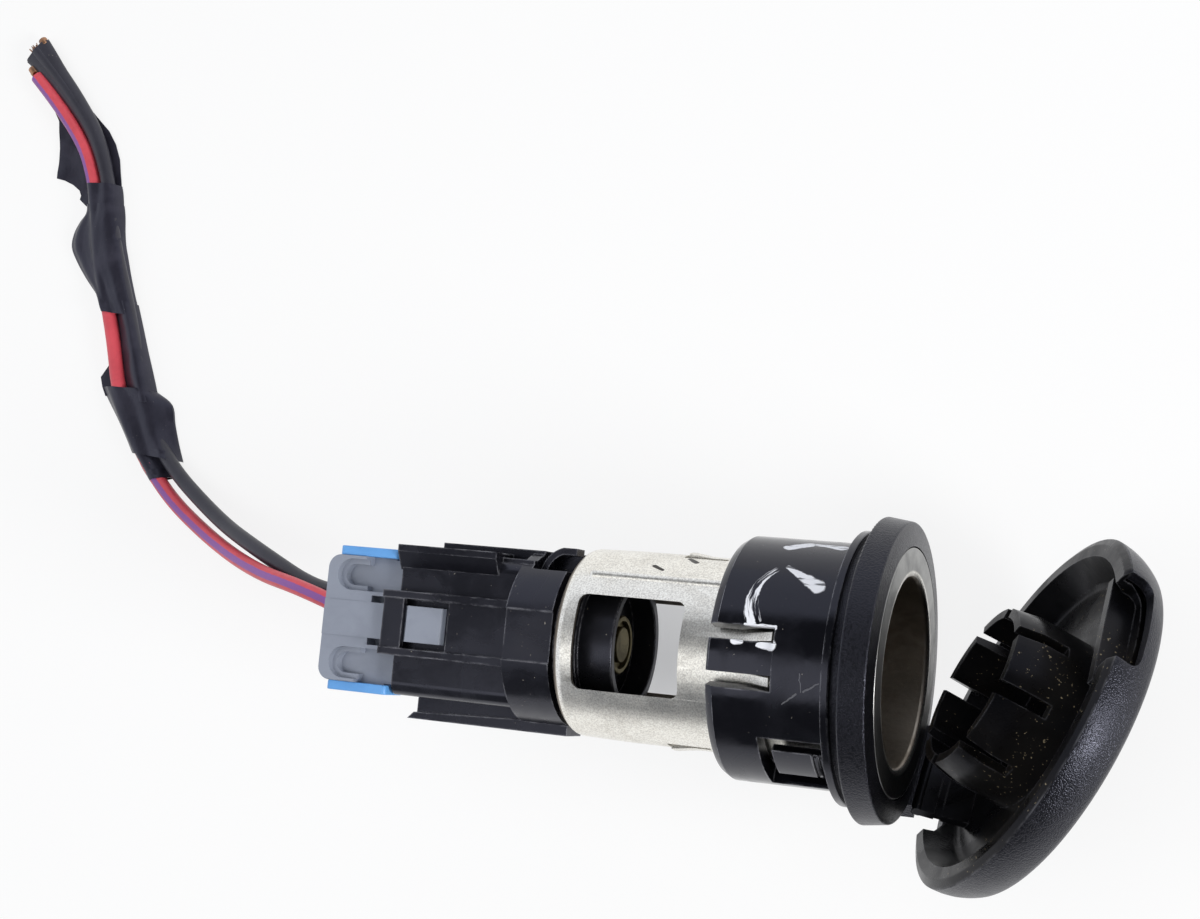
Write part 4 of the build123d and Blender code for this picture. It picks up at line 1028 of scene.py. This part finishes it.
def taut_top(width, crossings):
    """Height of tape pulled over the leads, at even steps from the left edge to the right one."""
    skin = LEAD_D / 2 + TAPE_T
    points = [(0.0, TAPE_BASE + TAPE_EDGE), (width, TAPE_BASE + TAPE_EDGE)]
    for way, height in crossings:
        for degree in range(10, 171, 16):
            x = way + skin * cos(radians(degree))
            if 0.0 < x < width:
                points.append((x, height + skin * sin(radians(degree))))
    hull = []
    for point in sorted(points):
        while len(hull) > 1:
            (ax, az), (bx, bz) = hull[-2:]
            if (bx - ax) * (point[1] - az) - (bz - az) * (point[0] - ax) < 0:
                break
            hull.pop()
        hull.append(point)
    heights = [between(hull, width * step / TAPE_STEPS) for step in range(TAPE_STEPS + 1)]
    for _ in range(2):
        inner = [(a + 2 * b + c) / 4 for a, b, c in zip(heights, heights[1:], heights[2:])]
        heights = [heights[0], *inner, heights[-1]]
    return heights


def hem(loop, shift):
    """Loop of a wrap drawn in by the tape's thickness and moved along."""
    top, low = loop
    middle = (low[0] + low[-1]) / 2
    inner_top, inner_low = [], []
    for high, base in zip(top, low):
        drop = min(TAPE_T, 0.35 * (high.z - base.z))
        pulled = base.lerp(middle, 2 * TAPE_T / (low[-1] - low[0]).length)
        inner_top.append(Vector((pulled.x, pulled.y, high.z - drop)) + shift)
        inner_low.append(Vector((pulled.x, pulled.y, base.z + 0.35 * drop)) + shift)
    return inner_top, inner_low


def add_wrap(shape, stations, lines, folds=()):
    """Flattened tube of tape, hollow at both ends, with soft folds along it."""
    loops = []
    skin = LEAD_D / 2 + 0.5 * TAPE_T
    for left, right in smoothed(stations, TAPE_ROWS):
        width = (right - left).length
        found = [place for place in (crossing(line, left, right) for line in lines) if place]
        top, low = [], []
        for step, height in enumerate(taut_top(width, found)):
            share = step / TAPE_STEPS
            place = left.lerp(right, share)
            fade = min(1.0, EDGE_FADE * share, EDGE_FADE * (1.0 - share))
            crease = noise.noise(Vector((place.x * CREASE_SCALE, place.y * CREASE_SCALE, CREASE_SEED)))
            height += fade * CREASE_HEIGHT * crease
            for middle, spread, rise in folds:
                height += fade * rise * MM * max(0.0, 1.0 - abs(share - middle) / spread)
            for way, centre in found:
                off = abs(share * width - way)
                if off < skin:
                    height = max(height, centre + (skin ** 2 - off ** 2) ** 0.5)
            top.append(Vector((place.x, place.y, max(height, TAPE_BASE + TAPE_LEAST))))
            low.append(Vector((place.x, place.y, TAPE_BASE)))
        loops.append((top, low))
    first, last = loops[0], loops[-1]
    ahead = ((last[1][0] + last[1][-1]) - (first[1][0] + first[1][-1])).normalized()
    deep = HEM_DEPTH * ahead
    start = [hem(first, deep), hem(first, 0 * deep)]
    end = [hem(last, 0 * deep), hem(last, -deep)]
    loops = [*start, *loops, *end]
    rings = [[shape.verts.new(place) for place in top + low[::-1]] for top, low in loops]
    count = len(rings[0])
    made = []
    for ring, after in zip(rings, rings[1:]):
        for step in range(count):
            following = (step + 1) % count
            made.append(shape.faces.new((ring[step], ring[following], after[following], after[step])))
    for ring in (rings[0], rings[-1]):
        for step in range(TAPE_STEPS):
            below = count - 1 - step
            made.append(shape.faces.new((ring[step], ring[step + 1], ring[below - 1], ring[below])))
    bmesh.ops.recalc_face_normals(shape, faces=made)


def add_sheet(shape, outline, base, ripple):
    """Thin torn sheet lying on the floor, crinkled."""
    sheet = bmesh.new()
    face = sheet.faces.new([sheet.verts.new((x * MM, y * MM, base)) for x, y in outline])
    face.normal_update()
    if face.normal.z < 0:
        face.normal_flip()
    bmesh.ops.triangulate(sheet, faces=sheet.faces)
    for _ in range(3):
        bmesh.ops.subdivide_edges(sheet, edges=sheet.edges, cuts=1, use_grid_fill=True)
    for vertex in sheet.verts:
        vertex.co.z += ripple * (0.5 + noise.noise(vertex.co * RIPPLE_SCALE))
    bmesh.ops.recalc_face_normals(sheet, faces=sheet.faces)
    bmesh.ops.solidify(sheet, geom=sheet.faces[:], thickness=TAPE_T)
    holder = bpy.data.meshes.new("sheet")
    sheet.to_mesh(holder)
    sheet.free()
    shape.from_mesh(holder)
    bpy.data.meshes.remove(holder)


red_line = route_line(RED_ROUTE)
black_line = route_line(BLACK_ROUTE)
both = [red_line, black_line]

lower = bmesh.new()
add_wrap(lower, LOWER_BAND, both, LOWER_FOLDS)
add_wrap(lower, LOWER_TAIL, [red_line])
add_wrap(lower, LOWER_RIBBON, [black_line], RIBBON_FOLDS)
add_sheet(lower, LOWER_FLAP, TAPE_BASE + 0.25 * MM, 0.1 * MM)
middle = bmesh.new()
add_wrap(middle, MIDDLE_BAND, both, MIDDLE_FOLDS)
upper = bmesh.new()
add_wrap(upper, UPPER_NECK, both, NECK_FOLDS)
add_sheet(upper, UPPER_SHEET, TAPE_BASE + 0.1 * MM, 0.22 * MM)
for title, shape in (("lower", lower), ("middle", middle), ("upper", upper)):
    node = "tape_wrap_" + title
    mesh = smooth_mesh(shape, node, 50.0)
    new_piece(title + "_tape", mesh, "socket", "tape", [node])

# The black lead's cut end is crushed flat and torn: (share of its length, half height or half width)
FLARE_FROM = 0.84
FLARE_HIGH = ((0.0, 1.07 * MM), (0.3, 1.12 * MM), (1.0, 0.85 * MM))
FLARE_WIDE = ((0.0, 1.07 * MM), (0.3, 1.22 * MM), (0.6, 1.35 * MM), (0.85, 1.7 * MM), (1.0, 2.4 * MM))
FLARE_TORN = 0.9 * MM
flare_line = black_line[int(FLARE_FROM * len(black_line)):]
flare_mesh = tube_mesh("flare", flare_line, FLARE_HIGH, FLARE_WIDE, torn=FLARE_TORN)
flare = new_piece("black_wire_end", flare_mesh, "socket", "black_insulation")

# Copper that shows at the cut ends
RED_STRANDS = {"Count": 11, "Bundle_Radius": 0.5 * MM, "Length": 1.3 * MM, "Seed": 3}
BLACK_STRANDS = {"Count": 19, "Bundle_Radius": 0.75 * MM, "Length": 1.5 * MM}
red_strands = strand_bundle("red_wire_strands", red_line, **RED_STRANDS)
black_strands = strand_bundle("black_wire_strands", black_line, **BLACK_STRANDS)

# Stripe towards the viewer near the plug, then rolled under and out at the side: (share of the way, turn)
STRIPE_TURN = ((0.0, 0.5), (0.46, 0.5), (0.57, 0.1), (0.7, 0.05), (0.8, -0.45), (1.0, -0.44))
lead("red_wire", red_line, "red_insulation", STRIPE_TURN)
lead("black_wire", black_line, "black_insulation", NO_TURN)


# Glow and paint of the floor, and a painted shade patch right under the socket where the glow is lowered,
# fading between two places
FLOOR_GLOW = 0.82
FLOOR_PAINT = rgb(0.88, 0.88, 0.88)
WHITE = rgb(1.0, 1.0, 1.0)
SHADE_DEPTH = 0.55
SHADE_HALF_WIDTH = (6.0 * MM, 10.5 * MM)
SHADE_REAR = (-70.0 * MM, -48.0 * MM)
SHADE_FRONT = (-24.0 * MM, -2.0 * MM)
# Room that mirrors see: its level, what the pale walls add, and the directions between which a wall fades
ROOM_TINT = rgb(0.9, 0.93, 1.0)
ROOM_LEVEL = 0.12
WALL_LIFT = 0.85
BACK_WALL_Y = (0.45, 0.66)
BACK_WALL_TOP = (0.66, 0.78)
LEFT_WALL_X = (-0.6, -0.42)
LEFT_WALL_TOP = (0.74, 0.86)
# Soft square lamps: place, aim, side in metres, power in watts, whether mirrors see it
LAMPS = {
    "overhead": ((-0.2, -0.162, 0.552), (-0.02, 0.0, 0.0), 0.32, 0.42, True),
    "side": ((0.557, -0.132, 0.263), (0.03, -0.02, 0.0), 0.2, 3.2, True),
    "fill": ((-0.05, 0.05, 0.8), (-0.05, 0.0, 0.0), 0.8, 2.6, False),
}


# Floor, light and camera
def pale_floor():
    """Floor that is white where it is looked at or mirrored, and plain pale paint to other light, with a
    painted shade patch under the socket where its glow is lowered.
    """
    material = bpy.data.materials.new("pale_floor")
    material.use_nodes = True
    tree = material.node_tree
    tree.nodes.clear()
    shade = Shade(tree)
    seen = shade.node("LightPath")
    direct = shade.math("MAXIMUM", seen.outputs["Is Camera Ray"], seen.outputs["Is Transmission Ray"])
    direct = shade.math("MAXIMUM", direct, seen.outputs["Is Glossy Ray"])
    spot = shade.parts(shade.place())
    # painted shade: a patch under the socket where the floor glows less, so its real shadow shows there
    # more
    under = shade.ramp(shade.math("ABSOLUTE", spot["Y"]), *SHADE_HALF_WIDTH, 1.0, 0.0)
    under = shade.times(under, shade.ramp(spot["X"], *SHADE_REAR))
    under = shade.times(under, shade.ramp(spot["X"], *SHADE_FRONT, 1.0, 0.0))
    share = shade.times(direct, shade.math("MULTIPLY_ADD", under, -SHADE_DEPTH, FLOOR_GLOW))
    paint = shade.node("BsdfDiffuse")
    shade.put(paint.inputs["Color"], FLOOR_PAINT)
    glow = shade.node("Emission")
    shade.put(glow.inputs["Color"], WHITE)
    mixed = shade.node("MixShader")
    shade.put(mixed.inputs["Fac"], share)
    shade.put(mixed.inputs[1], paint.outputs[0])
    shade.put(mixed.inputs[2], glow.outputs[0])
    result = shade.node("OutputMaterial")
    shade.put(result.inputs["Surface"], mixed.outputs[0])
    return material


def make_floor():
    mesh = bpy.data.meshes.new("floor")
    signs = [(-1, -1), (1, -1), (1, 1), (-1, 1)]
    corners = [(x * FLOOR_HALF, y * FLOOR_HALF, FLOOR_Z) for x, y in signs]
    mesh.from_pydata(corners, [], [(0, 1, 2, 3)])
    mesh.materials.append(pale_floor())
    floor = placed("floor", mesh)


def soft_light(name, place, target, side, power, mirrored):
    lamp = bpy.data.lights.new(name, "AREA")
    lamp.shape = "SQUARE"
    lamp.size = side
    lamp.energy = power
    holder = placed(name, lamp)
    holder.location = place
    holder.rotation_mode = "QUATERNION"
    holder.rotation_quaternion = (Vector(target) - Vector(place)).to_track_quat("-Z", "Y")
    holder.visible_glossy = mirrored


def make_world():
    """Pale walls on the +Y and -X sides of a dark room, all white where the camera looks at it."""
    world = bpy.data.worlds.new("studio")
    bpy.context.scene.world = world
    world.use_nodes = True
    shade = Shade(world.node_tree)
    back = world.node_tree.nodes["Background"]
    seen = shade.node("LightPath")
    direct = shade.math("MAXIMUM", seen.outputs["Is Camera Ray"], seen.outputs["Is Transmission Ray"])
    x, y, z = shade.parts(shade.node("TexCoord").outputs["Generated"])[:3]
    behind = shade.ramp(z, *BACK_WALL_TOP, 1.0, 0.0)
    behind = shade.times(shade.ramp(y, *BACK_WALL_Y), behind)
    left = shade.ramp(z, *LEFT_WALL_TOP, 1.0, 0.0)
    left = shade.times(shade.ramp(x, *LEFT_WALL_X, 1.0, 0.0), left)
    level = shade.math("MULTIPLY_ADD", shade.math("MAXIMUM", behind, left), WALL_LIFT, ROOM_LEVEL)
    shade.put(back.inputs["Color"], shade.blend(direct, ROOM_TINT, WHITE))
    shade.put(back.inputs["Strength"], shade.math("MAXIMUM", level, direct))


def make_camera():
    data = bpy.data.cameras.new("camera")
    data.lens = CAMERA_LENS
    data.sensor_width = CAMERA_SENSOR
    data.clip_start, data.clip_end = CAMERA_SEES
    camera = placed("camera", data)
    turn = Matrix((CAMERA_RIGHT, CAMERA_UP, CAMERA_BACK)).transposed()
    camera.matrix_world = Matrix.Translation(CAMERA_PLACE) @ turn.to_4x4()
    bpy.context.scene.camera = camera


make_floor()
for name, lamp in LAMPS.items():
    soft_light(name, *lamp)
make_world()
make_camera()
bpy.context.scene.view_settings.view_transform = "Standard"
